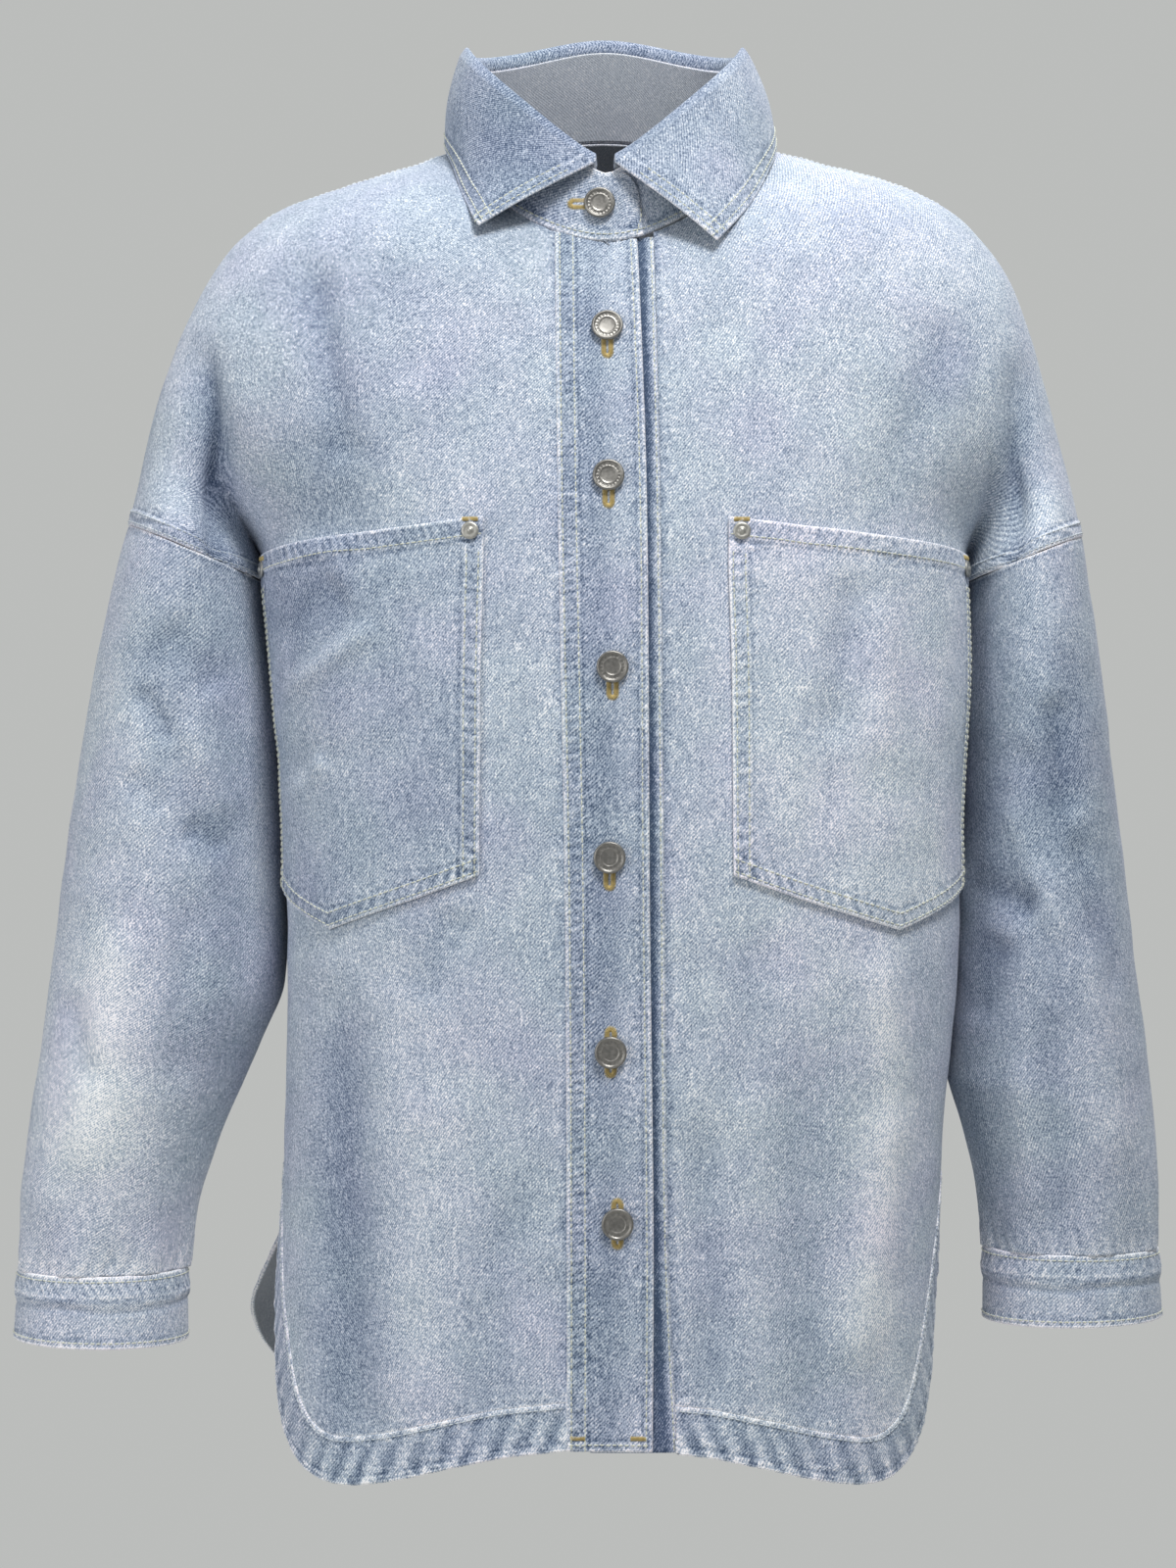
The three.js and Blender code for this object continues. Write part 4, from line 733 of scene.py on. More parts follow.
def stitches(name, paths, material, across=False, trim=(0.0, 0.0), **changed):
    """Rows of stitches along paths of points and normals, as one mesh: each stitch is a short three-sided
    thread that dips into the cloth at both ends, set at an even pitch by the path's own length."""
    size = {**STITCH, **changed}
    middles, alongs, ups = [], [], []
    for points, normals in paths:
        run = np.concatenate([[0], np.cumsum(np.linalg.norm(np.diff(points, axis=0), axis=1))])
        places = np.arange(trim[0] + size["pitch"] / 2, run[-1] - trim[1], size["pitch"])
        at = [np.stack([np.interp(places + off, run, axis) for axis in points.T], 1) for off in (-0.5, 0, 0.5)]
        middles.append(at[1])
        alongs.append(at[2] - at[0])
        ups.append(np.stack([np.interp(places, run, axis) for axis in normals.T], 1))
    middle, along, up = (np.concatenate(part) for part in (middles, alongs, ups))
    along /= np.maximum(np.linalg.norm(along, axis=1, keepdims=True), 1e-9)
    side = np.cross(along, up)
    if across:
        along, side = side, along
    turn = np.linspace(0, 2 * np.pi, size["sides"], endpoint=False) + np.pi / 2
    rings = STITCH_RINGS
    run_part = rings["along"][:, None] * size["length"] + 0 * turn
    side_part = rings["size"][:, None] * size["radius"] * np.cos(turn)
    up_part = size["radius"] * (rings["size"][:, None] * np.sin(turn) + rings["out"][:, None])
    template = [part.reshape(-1)[None, :, None] for part in (run_part, side_part, up_part)]
    points = middle[:, None] + sum(way[:, None] * part for way, part in zip((along, side, up), template))
    count, sides = len(rings["along"]), size["sides"]
    ring = np.arange(count - 1)[:, None] * sides
    one, two = np.arange(sides), (np.arange(sides) + 1) % sides
    quads = np.stack([ring + one, ring + two, ring + sides + two, ring + sides + one], -1).reshape(-1, 4)
    ends = np.array([[2, 1, 0], [0, 1, 2]]) + [[0], [(count - 1) * sides]]
    triangles = np.concatenate([quads[:, [0, 1, 2]], quads[:, [0, 2, 3]], ends])
    if across:
        triangles = triangles[:, ::-1]
    each = np.arange(len(middle))[:, None, None] * (count * sides)
    made = smooth_mesh(name, points.reshape(-1, 3), (triangles[None] + each).reshape(-1, 3), material)
    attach(made, "root")
    return made


PANEL_LEVELS = np.concatenate([spread(66, 0, 0.95, edge=0.005), np.linspace(0.95, 1, 22)[1:]])
PANEL_SHARES = np.concatenate([spread(144, 0, 0.965), np.linspace(0.965, 1, 14)[1:]])
FRONT_ACROSS = spread(76, edge=0.002)
ARM_ACROSS = np.concatenate([np.linspace(0, 0.92, 36), np.linspace(0.92, 1, 12)[1:]])
ARMHOLE_STRIP, SHOULDER_STRIP = 8.8, 5.0  # widths of the stitched strips
HEM_RUBBED = 9  # how far above the hem band the puckered seam is rubbed pale
FELL_ROWS = (1.6, 7.6)  # the two rows of stitches along the armhole
SIDE_ROW = 3.4  # the row along the shoulder seam, and on down the side seam
SHOULDER_ROWS, SIDE_ROWS = slice(4, len(PANEL_LEVELS) - 2), slice(92, -12)  # the rows of the grid they follow


def panel_marks(grid, middle, arm_from):
    """Seam marks of a front or of half the back: the armhole's strip on the arm's columns, the shoulder's strip
    above the underarm and the side seam below it, the crease over the hem band, and the edge at the middle, with
    painted shade below the neckline and, on a front, along its middle edge and in the groove beside the placket."""
    gaps = gaps_of(grid)
    arm = np.zeros(grid.shape[:2])
    arm[:, arm_from:] = 1
    armhole = felled(gaps, "bottom", ARMHOLE_STRIP, 0.7, 5.2, 11)
    hem = felled(gaps, "bottom", 0.5, 0.0, 7.5, 12, rope=0.1, pale=0.3, dark=0.12)
    side = felled(gaps, "right", SHOULDER_STRIP, 0.5, 5.5, 13)
    # the neckline's mark is mostly its dark line: painted shade under the collar
    neck = felled(gaps, "top", 1.0, 0.0, 6, 14, pale=0.0, dark=0.2)
    # along a front's middle edge, a dark line and a groove of painted shade beside the placket
    edge = felled(gaps, "left", 1.0, 0.0, 6, 15, pale=0.0, dark=0.16) * middle
    placket_groove_shade = bar(gaps["left"], BEYOND, 1.3, 0.8) * middle
    rubbed = ease(1 - gaps["bottom"] / HEM_RUBBED) * (0.6 + 0.4 * ladder(gaps["left"], 13, 16)) * (1 - arm)
    hem = hem + colour_marks(0.2 * rubbed)
    return armhole * arm + hem * (1 - arm) + side + neck + edge - colour_marks(0.4 * placket_groove_shade)


FRONT_ARM = len(FRONT_ACROSS)
for name, side, column in (("front_right", RIGHT, "topSeam"), ("front_left", LEFT, "underSeam")):
    def beside_placket(down, level, column=column):
        return opening_turn(column, down, level)
    grid = half_panel(side, FRONT, FRONT_ACROSS, ARM_ACROSS, PANEL_LEVELS, PANEL_SHARES, beside_placket)
    piece, front = cloth_piece(name, grid, denim, panel_marks(grid, 1, FRONT_ARM), hand=side["way"],
                               folds=BODY_FOLDS, laid=panel_map(grid, FRONT))
    rows = [seam_path(front, "bottom", gap, slice(FRONT_ARM, None)) for gap in FELL_ROWS]
    rows += [seam_path(front, "right", SIDE_ROW, part) for part in (SHOULDER_ROWS, SIDE_ROWS)]
    sewn = stitches(name + "_topstitching", rows, thread_blue)

# The back: one panel of the same cloth, with no yoke, from the neckline over the back of both shoulders to the
# curved hem, joined to the fronts at the shoulder and side seams.
BACK_ACROSS = spread(52, edge=0.002)
halves, marks = [], []
for side in (RIGHT, LEFT):
    halves.append(half_panel(side, BACK, BACK_ACROSS, ARM_ACROSS, PANEL_LEVELS, PANEL_SHARES,
                             lambda down, level: np.zeros(np.broadcast(down, level).shape)))
    marks.append(panel_marks(halves[-1], 0, len(BACK_ACROSS)))
grid = np.concatenate([halves[0][:, :0:-1], halves[1]], 1)
marks = np.concatenate([marks[0][:, :, :0:-1], marks[1]], 2)
piece, back = cloth_piece("back", grid, denim_material("denim_back", 0.6, 700.0), marks, hand=-1,
                          folds=BODY_FOLDS, laid=panel_map(grid, BACK))
arm_count = len(ARM_ACROSS) - 1
rows = [seam_path(back, "bottom", gap, part) for gap in FELL_ROWS
        for part in (slice(0, arm_count), slice(-arm_count, None))]
sewn = stitches("back_topstitching", rows, thread_blue)

# The sleeves: one tube of the same cloth each, cut straight and full, from the dropped armhole to the cuff,
# where the seam gathers it in.
SLEEVES = {
    "R": table(
        "down outer inner depth middle",
        (272, 287, 180, 168, 0), (365, 301, 178, 156, -2), (470, 315, 182, 140, -5), (507, 320, 197, 130, -7),
        (553, 327, 217, 114, -9), (592, 331, 230, 98, -11), (631, 332, 237, 84, -12),
    ),
    "L": table(
        "down outer inner depth middle",
        (272, 278, 190, 168, 0), (365, 290, 188, 156, -2), (470, 302, 186, 140, -5), (507, 307, 190, 130, -7),
        (553, 312, 203, 114, -9), (585, 314, 211, 98, -11), (619, 313, 215, 84, -12),
    ),
}
SLEEVE_CLEAR = 2  # least gap to the body
ARMHOLE_REACH = 30  # how far below the first ring the tube still takes after the armhole
GATHERS = {"count": 7, "depth": 1.3, "reach": 46, "pulled": 26}  # ripples at the cuff, and how far up they go
GATHERED = {"pitch": 9.5, "slant": 0.2, "proud": 0.6, "bars": 0.22, "pale": 0.2, "rubbed": 15, "puckered": 16}
SLEEVE_COLUMNS, CUFF_COLUMNS = 132, 200


def around(columns):
    """Even turns round a tube, in radians."""
    return np.linspace(0, 2 * np.pi, columns, endpoint=False)


def tube_ring(side, row, turn, gather=0.0):
    """Rings of a sleeve or cuff: an ellipse from the side that faces the body, round by way of the front, whose
    level tips from the inner to the outer edge and which the gathers ripple."""
    row = {name: np.asarray(value, float)[:, None] for name, value in row.items()}
    wave = 1 + np.asarray(gather)[..., None] * np.cos(turn * GATHERS["count"]) / (row["depth"] / 2)
    rise = (1 - np.cos(turn) * wave) / 2
    x = side["way"] * mix(row["inner"], row["outer"], rise)
    y = row["middle"] - row["depth"] / 2 * np.sin(turn) * wave
    return np.stack([x, y, -mix(row["innerDown"], row["outerDown"], rise)], -1)


def body_side(side, down):
    """How far the side seam lies from the middle of the jacket."""
    return torso_point(side, FRONT, 90, down)[..., 0] * side["way"]


for name, side, fade in (("sleeve_right", RIGHT, 0.62), ("sleeve_left", LEFT, 0.53)):
    rows = SLEEVES[side["letter"]]
    top_down, end = rows["down"][0], rows["down"][-1]
    top = {
        "inner": body_side(side, PIT_LEVEL) + SLEEVE_CLEAR, "outer": YOKE["seam"][-1],
        "innerDown": PIT_LEVEL + SEAM * 2, "outerDown": YOKE["seamDown" + side["letter"]][-1] + SEAM * 2,
        "depth": YOKE["arm"][-1] * 2, "middle": 0,
    }
    down = spread(134, PIT_LEVEL, end, edge=0.003)
    at = np.maximum(down, top_down)
    row = {column: read(rows, at, column) for column in ("outer", "inner", "depth", "middle")}
    row["inner"] = np.maximum(row["inner"], body_side(side, at) + SLEEVE_CLEAR)
    row["innerDown"] = row["outerDown"] = down
    joined = top_down + ARMHOLE_REACH
    near = ease((joined - down) / (joined - PIT_LEVEL))
    row = {column: mix(values, top[column], near) for column, values in row.items()}
    gather = GATHERS["depth"] * ease(1 - (end - down) / GATHERS["reach"])
    grid = tube_ring(side, row, around(SLEEVE_COLUMNS), gather)
    gaps = gaps_of(grid)
    to_cuff = gaps["bottom"]
    slanting = gaps["left"] + to_cuff * GATHERED["slant"]
    pulled = ease(1 - to_cuff / GATHERS["pulled"]) * ladder(slanting, GATHERED["pitch"], 21)
    marks = felled(gaps, "top", 0.4, 0.0, 6, 22, rope=0.12, pale=0.2, dark=0.3)
    rubbed, puckered = (ease(1 - to_cuff / GATHERED[reach]) for reach in ("rubbed", "puckered"))
    marks = marks + colour_marks(GATHERED["bars"] * pulled + GATHERED["pale"] * rubbed, GATHERED["proud"] * pulled,
                         puckered)
    piece = cloth_piece(name, grid, denim_material("denim_" + name, fade, 300.0 + end), marks,
                        hand=side["way"], wrap=True, folds=SLEEVE_FOLDS)[0]

# The cuffs: doubled bands of the same cloth closed in a ring, sewn onto the end of each sleeve and topstitched
# along both edges.
CUFF = {"height": 40, "outerShorter": 2, "flare": 2}
CUFF_ROWS = table("down out", (0, 0), (0.32, 1.5), (0.42, 0.4), (1, 0.6))  # its bulge, by share of its height
# the crease round each cuff is sunk in and darker: partly unworn dye, partly painted shade in its fold
CREASE = {"from": 17.5, "to": 20, "dark": 0.16, "deep": 0.5, "wanders": 3, "over": 30}
ABOVE_CREASE = {"from": 12.5, "to": 16, "proud": 0.4}
cuff_denim = denim_material("denim_cuffs", 0.62, 90.0)
for name, side in (("cuff_right", RIGHT), ("cuff_left", LEFT)):
    end = {column: values[-1] for column, values in SLEEVES[side["letter"]].items()}
    down = spread(30, edge=0.01)
    out = np.interp(down, CUFF_ROWS["down"], CUFF_ROWS["out"])
    row = {
        "inner": end["inner"] - out, "outer": end["outer"] + out + down * CUFF["flare"],
        "depth": end["depth"] + 2 * out, "middle": end["middle"] + 0 * out,
        "innerDown": end["down"] + SEAM * 2 + down * CUFF["height"],
        "outerDown": end["down"] + SEAM * 2 + down * (CUFF["height"] - CUFF["outerShorter"]),
    }
    grid = tube_ring(side, row, around(CUFF_COLUMNS))
    gaps = gaps_of(grid)
    bent = gaps["top"] + CREASE["wanders"] * wander(gaps["left"], 0, CREASE["over"], 31)
    crease = bar(bent, CREASE["from"], CREASE["to"], 1.6)
    swell = bar(bent, ABOVE_CREASE["from"], ABOVE_CREASE["to"], 2)
    marks = felled(gaps, "top", 11.5, 0.3, 5.4, 32) + felled(gaps, "bottom", 3.2, 0.2, 6.2, 33, pale=0.5)
    marks = marks + colour_marks(-CREASE["dark"] * crease, ABOVE_CREASE["proud"] * swell - CREASE["deep"] * crease)
    piece, cuff = cloth_piece(name, grid, cuff_denim, marks, hand=side["way"], wrap=True, thick=FACED)
    rows = [seam_path(cuff, "top", 2.4), seam_path(cuff, "bottom", 3.0)]
    sewn = stitches(name + "_topstitching", rows, thread_cream)

# The plackets: doubled strips of the same cloth sewn to both fronts. The top one, on the wearer's right, laps
# over the other and keeps a dark unworn band under the buttons.
PLACKET = {"proud": 1.2, "bottom": 711, "underBottom": 712, "underWidth": 46, "gap": 0.5}
PLACKET_BANDS = ((19, 8), (33, 5))  # the unworn band behind the buttons and the pale one: middle and half width
UNDER_PLACKET_SHADE = {"from": 1.5, "soft": 4, "less": 0.85}  # painted shade on the under placket where the top placket overhangs it: start, softness, depth


def neck_point(turn):
    """A point of the neckline, all the way round by turn from the middle of the front towards the right."""
    turn = np.mod(np.asarray(turn, float), 360)
    from_front = np.minimum(turn, 360 - turn)
    own = np.where(from_front <= 90, from_front, 180 - from_front)
    across = np.where(own < FOLD_TURN, own / FOLD_TURN, 1 + (own - FOLD_TURN) / (90 - FOLD_TURN))
    found = np.empty(turn.shape + (3,))
    for side, on_side in ((RIGHT, turn < 180), (LEFT, turn >= 180)):
        for face, on_face in ((FRONT, from_front <= 90), (BACK, from_front > 90)):
            own_part = on_side & on_face
            found[own_part] = yoke_point(side, face, 0, across[own_part], 0)
    return found


def strip(edges, bottom, rows, columns):
    """A strip down the front: edges are two (column, shift) pairs, and the columns are spread between them."""
    down_share = spread(rows, edge=0.001)[:, None]
    ends = []
    for column, shift in edges:
        top_x = OPENING[column][0] + shift
        neck = neck_point(np.degrees(np.arctan2(-top_x, YOKE["front"][0])))
        down = mix(-neck[2] + SEAM * 3, bottom, down_share)
        ends.append((read(OPENING, down, column) + shift, down))
    share = spread(columns, edge=0.015)
    return front_point(*(mix(first, last, share) for first, last in zip(*ends)))


grid = strip((("topSeam", 0), ("freeEdge", 0)), PLACKET["bottom"], 480, 30)
gaps = gaps_of(grid)
marks = felled(gaps, "left", 9.5, 0.15, 5.0, 41) + felled(gaps, "right", 3.4, 0.15, 5.6, 42, pale=0.26)
marks = marks + felled(gaps, "bottom", 4, 0.2, 7, 43)
blue, pale = (np.exp(-((gaps["left"] - middle) / half) ** 2) for middle, half in PLACKET_BANDS)
patchy = 0.8 + 0.5 * wander(gaps["left"] * 0.5, gaps["top"], 26, 45)
marks = marks + colour_marks(patchy * (0.14 * pale - 0.24 * blue))
placket_denim = denim_material("denim_placket", 0.5, 170.0)
piece, placket = cloth_piece("placket", grid, placket_denim, marks, thick=FACED, lift=PLACKET["proud"],
                             folds=BODY_FOLDS)
rows = [seam_path(placket, "left", 1.7), seam_path(placket, "left", 9.0), seam_path(placket, "right", 2.8),
        seam_path(placket, "bottom", 3.0)]
placket_sewn = [stitches("placket_topstitching", rows, thread_cream)]

grid = strip((("underSeam", -PLACKET["underWidth"]), ("underSeam", 0)), PLACKET["underBottom"], 260, 16)
gaps = gaps_of(grid)
# painted shade where the top placket overhangs the under one
shaded_by_placket = ease((gaps["right"] - UNDER_PLACKET_SHADE["from"]) / UNDER_PLACKET_SHADE["soft"])
marks = felled(gaps, "right", 4, 0.2, 5.4, 44) - colour_marks(UNDER_PLACKET_SHADE["less"] * shaded_by_placket)
piece, under = cloth_piece("under_placket", grid, placket_denim, marks, thick=FACED,
                           lift=PLACKET["proud"] - FACED - PLACKET["gap"], folds=BODY_FOLDS)
sewn = stitches("under_placket_topstitching", [seam_path(under, "right", 1.6)], thread_cream)

# The collar stand: a doubled band of the same cloth round the neck, sewn to the neckline, from under the
# wearer's left front to its rounded end on top.
STAND = {"overlap": 20, "lap": 1.7, "top": 9, "lean": 0.95, "seat": 1.4, "endHeight": 12}
STAND_HEIGHT = 38  # height at its front, over which it leans in
ROLL = {"frontDown": 15, "sideRise": 76, "backRise": 20, "power": 1.4}
FALL = table(
    "along rollTurn turnR turnL reachR reachL downR downL",
    (0, 4, 38, 33, 112, 111, 54, 63), (0.12, 22, 49, 45, 102, 108, 37, 44),
    (0.28, 50, 68, 66, 92, 101, 12, 14), (0.45, 90, 92, 92, 91, 97, -6, -10),
    (0.7, 132, 134, 134, 91, 94, -17, -18), (1, 180, 180, 180, 86, 86, -22, -22),
)


def roll_up(turn):
    """Height of the collar's roll: a power of the sine up to the side, and a low rise over the back."""
    from_front = np.abs(np.mod(turn + 180, 360) - 180)
    swell = np.abs(np.sin(np.radians(from_front)))
    forward = ROLL["sideRise"] * swell ** ROLL["power"] - ROLL["frontDown"]
    behind = ROLL["sideRise"] - ROLL["frontDown"] + ROLL["backRise"] * np.cos(np.radians(from_front)) ** 2
    return np.where(from_front <= 90, forward, behind)


overlap = np.degrees(np.arctan2(STAND["overlap"], YOKE["front"][0]))
tip_turns = -overlap * np.cos(np.linspace(0, np.pi / 2, 14))[:-1]
turns = np.concatenate([tip_turns, np.linspace(0, 360, 260), 360 + overlap * np.array([0.3, 0.7, 1])])
share = (turns + overlap) / (360 + 2 * overlap)
lap_out = STAND["lap"] * (1 - 2 * share)
foot = neck_point(turns)
reach = np.hypot(foot[:, 0], foot[:, 1])
to_end = np.clip(np.minimum(turns + overlap, 360 + overlap - turns) / overlap, 0, 1)
rounded = np.sqrt(1 - (1 - to_end) ** 2)
low = foot[:, 2] + STAND["seat"]
high = mix(low + STAND["endHeight"], roll_up(turns) - STAND["top"], rounded)
up = spread(20, 1, 0, edge=0.01)[:, None]
scale = (reach * mix(1, STAND["lean"], up) + lap_out) / reach
grid = np.stack([foot[:, 0] * scale, foot[:, 1] * scale, mix(low, high, up)], -1)
gaps = gaps_of(grid)
marks = felled(gaps, "bottom", 4.2, 0.2, 5.0, 51) + felled(gaps, "top", 2.4, 0.1, 6.0, 52, dark=0.1)
marks = marks + felled(gaps, "left", 2.4, 0.1, 6.0, 53)
stand_denim = denim_material("denim_stand", 0.56, 410.0)
stand_piece, stand = cloth_piece("collar_stand", grid, stand_denim, marks, hand=-1, thick=FACED)
rows = [seam_path(stand, "bottom", 3.0), seam_path(stand, "left", 3.2)]
stand_sewn = [stitches("collar_stand_topstitching", rows, thread_cream)]

# The collar: one doubled leaf of cloth from its seam inside the stand, over the roll and down to its two
# points, with two rows of topstitching along its edges.
COLLAR_ROLL = table(
    "step out below", (0, -1, STAND["top"] - STAND["seat"]), (1, -0.4, 3), (2, 2.6, 0), (3, 6.5, 5),
)
COLLAR_SWELL = 3  # how far the fall swells out half-way down
COLLAR_WEAR_AND_SHADE = {"from": 8, "over": 10, "fall": 0.08, "inside": 0.2}  # paler over the roll from wear, darker inside it as painted shade


def collar_side(side, along):
    """Columns of the collar on one side: the section over the roll, then a slightly swelling fall."""
    get = {name: read(FALL, along, name) for name in FALL if name != "along"}
    letter, roll_turn = side["letter"], get["rollTurn"]
    foot = neck_point(roll_turn)
    stand_reach = np.hypot(foot[:, 0], foot[:, 1]) * STAND["lean"]
    height = roll_up(roll_turn)

    def place(turn, reach, z):
        turn = np.radians(turn)
        return np.stack(np.broadcast_arrays(side["way"] * reach * np.sin(turn), -reach * np.cos(turn), z), -1)

    steps = np.linspace(0, 3, 10)[:, None]
    out, below = (read(COLLAR_ROLL, steps, column) for column in ("out", "below"))
    roll = place(roll_turn, stand_reach + out, height - below)
    edge = place(get["turn" + letter], get["reach" + letter], -get["down" + letter])
    share = spread(44, edge=0.01)[1:, None]
    fall = mix(roll[-1], edge, share[..., None])
    swell = 1 + COLLAR_SWELL * np.sin(np.pi * share) / np.hypot(fall[..., 0], fall[..., 1])
    return np.concatenate([roll, fall * np.stack([swell, swell, np.ones_like(swell)], -1)])


along = spread(116, edge=0.006)
grid = np.concatenate([collar_side(RIGHT, along), collar_side(LEFT, along)[:, -2::-1]], 1)
gaps = gaps_of(grid)
gaps["end"] = np.minimum(gaps["left"], gaps["right"])
marks = felled(gaps, "bottom", 9.2, 0.25, 4.4, 61, rope=0.16)
marks = marks + felled(gaps, "end", 8.4, 0.25, 4.4, 62, rope=0.16)
fallen = ease((gaps["top"] - COLLAR_WEAR_AND_SHADE["from"]) / COLLAR_WEAR_AND_SHADE["over"])
marks = marks * fallen + colour_marks(COLLAR_WEAR_AND_SHADE["fall"] * fallen - COLLAR_WEAR_AND_SHADE["inside"] * (1 - fallen))
collar_denim = denim_material("denim_collar", 0.48, 260.0)
piece, collar = cloth_piece("collar", grid, collar_denim, marks, hand=-1)
fall_rows = slice(18, None)
rows = [seam_path(collar, "bottom", gap) for gap in (3.0, 8.6)]
rows += [seam_path(collar, edge, gap, fall_rows) for edge in ("left", "right") for gap in (3.0, 8.0)]
sewn = stitches("collar_topstitching", rows, thread_cream)

# The patch pockets: one large pointed patch of the same cloth on each chest, with a hem turned along its top,
# sewn on with two rows of stitches along its sides and foot.
POCKET = {"innerTurn": 28.4, "outerTurn": 76, "topInner": 216, "topOuter": 232, "seat": 0.8, "hemProud": 0.8}
POCKET_FOOT = {"inner": 406, "point": 436, "pointAt": 0.6, "outer": 414}
POCKET_HEM, POCKET_BAND = 10.4, 9.6  # widths of the hem along its top and of its stitched sides and foot


def pocket_point(side, turn, down):
    """A point of the front for a pocket, by turn round the body; above the underarm it goes straight up."""
    turn, down = np.broadcast_arrays(np.asarray(turn, float), np.asarray(down, float))
    low = torso_point(side, FRONT, turn, np.maximum(down, PIT_LEVEL))
    above = down < PIT_LEVEL
    low[above] = front_point(torso_point(side, FRONT, turn, PIT_LEVEL)[above][..., 0], down[above])
    return low


pocket_sewn, pocket_pieces = {}, {}
for name, side, fade in (("pocket_right", RIGHT, 0.53), ("pocket_left", LEFT, 0.65)):
    across = spread(116, edge=0.004)
    rows = spread(118, edge=0.003)[:, None]
    turn = mix(POCKET["innerTurn"], POCKET["outerTurn"], across)
    top = mix(POCKET["topInner"], POCKET["topOuter"], across)
    depths = [POCKET_FOOT[corner] for corner in ("inner", "point", "outer")]
    foot = np.interp(across, [0, POCKET_FOOT["pointAt"], 1], depths)
    grid = pocket_point(side, turn, mix(top, foot, rows))
    gaps = gaps_of(grid)
    below_hem = ease((gaps["top"] - POCKET_HEM) / 2)
    marks = felled(gaps, "top", POCKET_HEM, POCKET["hemProud"], 5.2, 71, rope=0.36, pale=0.28)
    for edge, pitch, seed in (("bottom", 7.4, 72), ("left", 6.2, 73), ("right", 6.2, 74)):
        marks = marks + felled(gaps, edge, POCKET_BAND, 0.25, pitch, seed) * below_hem
    pocket_denim = denim_material("denim_" + name, fade, 500.0 * fade)
    pocket_pieces[name], pocket = cloth_piece(name, grid, pocket_denim, marks, hand=side["way"],
                                              lift=DENIM + POCKET["seat"], folds=BODY_FOLDS)
    low_rows = slice(12, None)
    rows = [seam_path(pocket, "top", 9.0), seam_path(pocket, "bottom", 2.0), seam_path(pocket, "bottom", 8.6)]
    rows += [seam_path(pocket, edge, gap, low_rows) for edge in ("left", "right") for gap in (2.0, 8.6)]
    pocket_sewn[name] = [stitches(name + "_topstitching", rows, thread_cream)]

# The hem bands: doubled facings that follow each panel's curved hem and narrow to the side seams, with blocks
# of unworn blue where the wash has left the thick cloth.
HEM_BAND = {"width": 25, "ends": 5, "narrowFrom": 68, "lastTurn": 86}
HEM_BLOCKS = {"pitch": 15, "slant": 0.4, "fade": 24}
ARC = 2.9  # length round the body for each degree of turn


def hem_band(side, face, column, stations):
    """Rows of a hem band on one side: the hem's own curve, moved along its normal by shares of the width."""
    start = opening_turn(column, HEM["front"][0], 1.0) if column else 0.0
    turn = spread(stations, start, HEM_BAND["lastTurn"], edge=0.003)
    first = HEM["turn"][0]
    slope = read(HEM, turn + 0.5, face["deep"]) - read(HEM, np.maximum(turn - 0.5, first), face["deep"])
    drop = np.where(turn > first, slope, 0) / ARC
    length = np.hypot(1, drop)
    narrow = ease((turn - HEM_BAND["narrowFrom"]) / (HEM_BAND["lastTurn"] - HEM_BAND["narrowFrom"]))
    width = mix(HEM_BAND["width"], HEM_BAND["ends"], narrow)
    out = mix(SEAM * 1.5, width, spread(18, edge=0.02)[:, None])
    down = read(HEM, np.maximum(turn, first), face["deep"]) + out / length
    placed = turn - out * drop / length / ARC
    if column:
        placed = np.maximum(placed, opening_turn(column, down, 1.0))
    return torso_point(side, face, placed, down)


def band_marks(grid):
    """Marks of a hem band: slanting blocks of unworn blue, its stitched upper edge, and its worn hem."""
    gaps = gaps_of(grid)
    low = 0.35 + 0.65 * ease(1 - gaps["bottom"] / HEM_BLOCKS["fade"])
    slanting = gaps["left"] + gaps["bottom"] * HEM_BLOCKS["slant"]
    blocks = low * ladder(slanting, HEM_BLOCKS["pitch"], 81, gaps["left"] * 0.3)
    marks = felled(gaps, "top", 1.6, 0.2, 7, 82, dark=0.1) + felled(gaps, "bottom", 3.0, 0.2, 7, 83, pale=0.4)
    return marks + colour_marks(0.66 * blocks - 0.06, 0.45 * blocks, 0.5)


band_denim = denim_material("denim_bands", 0.56, 620.0)
for name, side, column in (("hem_band_right", RIGHT, "topSeam"), ("hem_band_left", LEFT, "underSeam")):
    grid = hem_band(side, FRONT, column, 160)
    piece, band = cloth_piece(name, grid, band_denim, band_marks(grid), hand=side["way"], thick=FACED,
                              lift=(FACED - DENIM) / 2, folds=BODY_FOLDS)
    sewn = stitches(name + "_topstitching", [seam_path(band, "top", 2.0)], thread_blue, trim=(2, 4))
halves = [hem_band(side, BACK, None, 100) for side in (RIGHT, LEFT)]
grid = np.concatenate([halves[0][:, :0:-1], halves[1]], 1)
piece, band = cloth_piece("hem_band_back", grid, band_denim, band_marks(grid), hand=-1, thick=FACED,
                          lift=(FACED - DENIM) / 2, folds=BODY_FOLDS)
sewn = stitches("hem_band_back_topstitching", [seam_path(band, "top", 2.0)], thread_blue, trim=(4, 4))

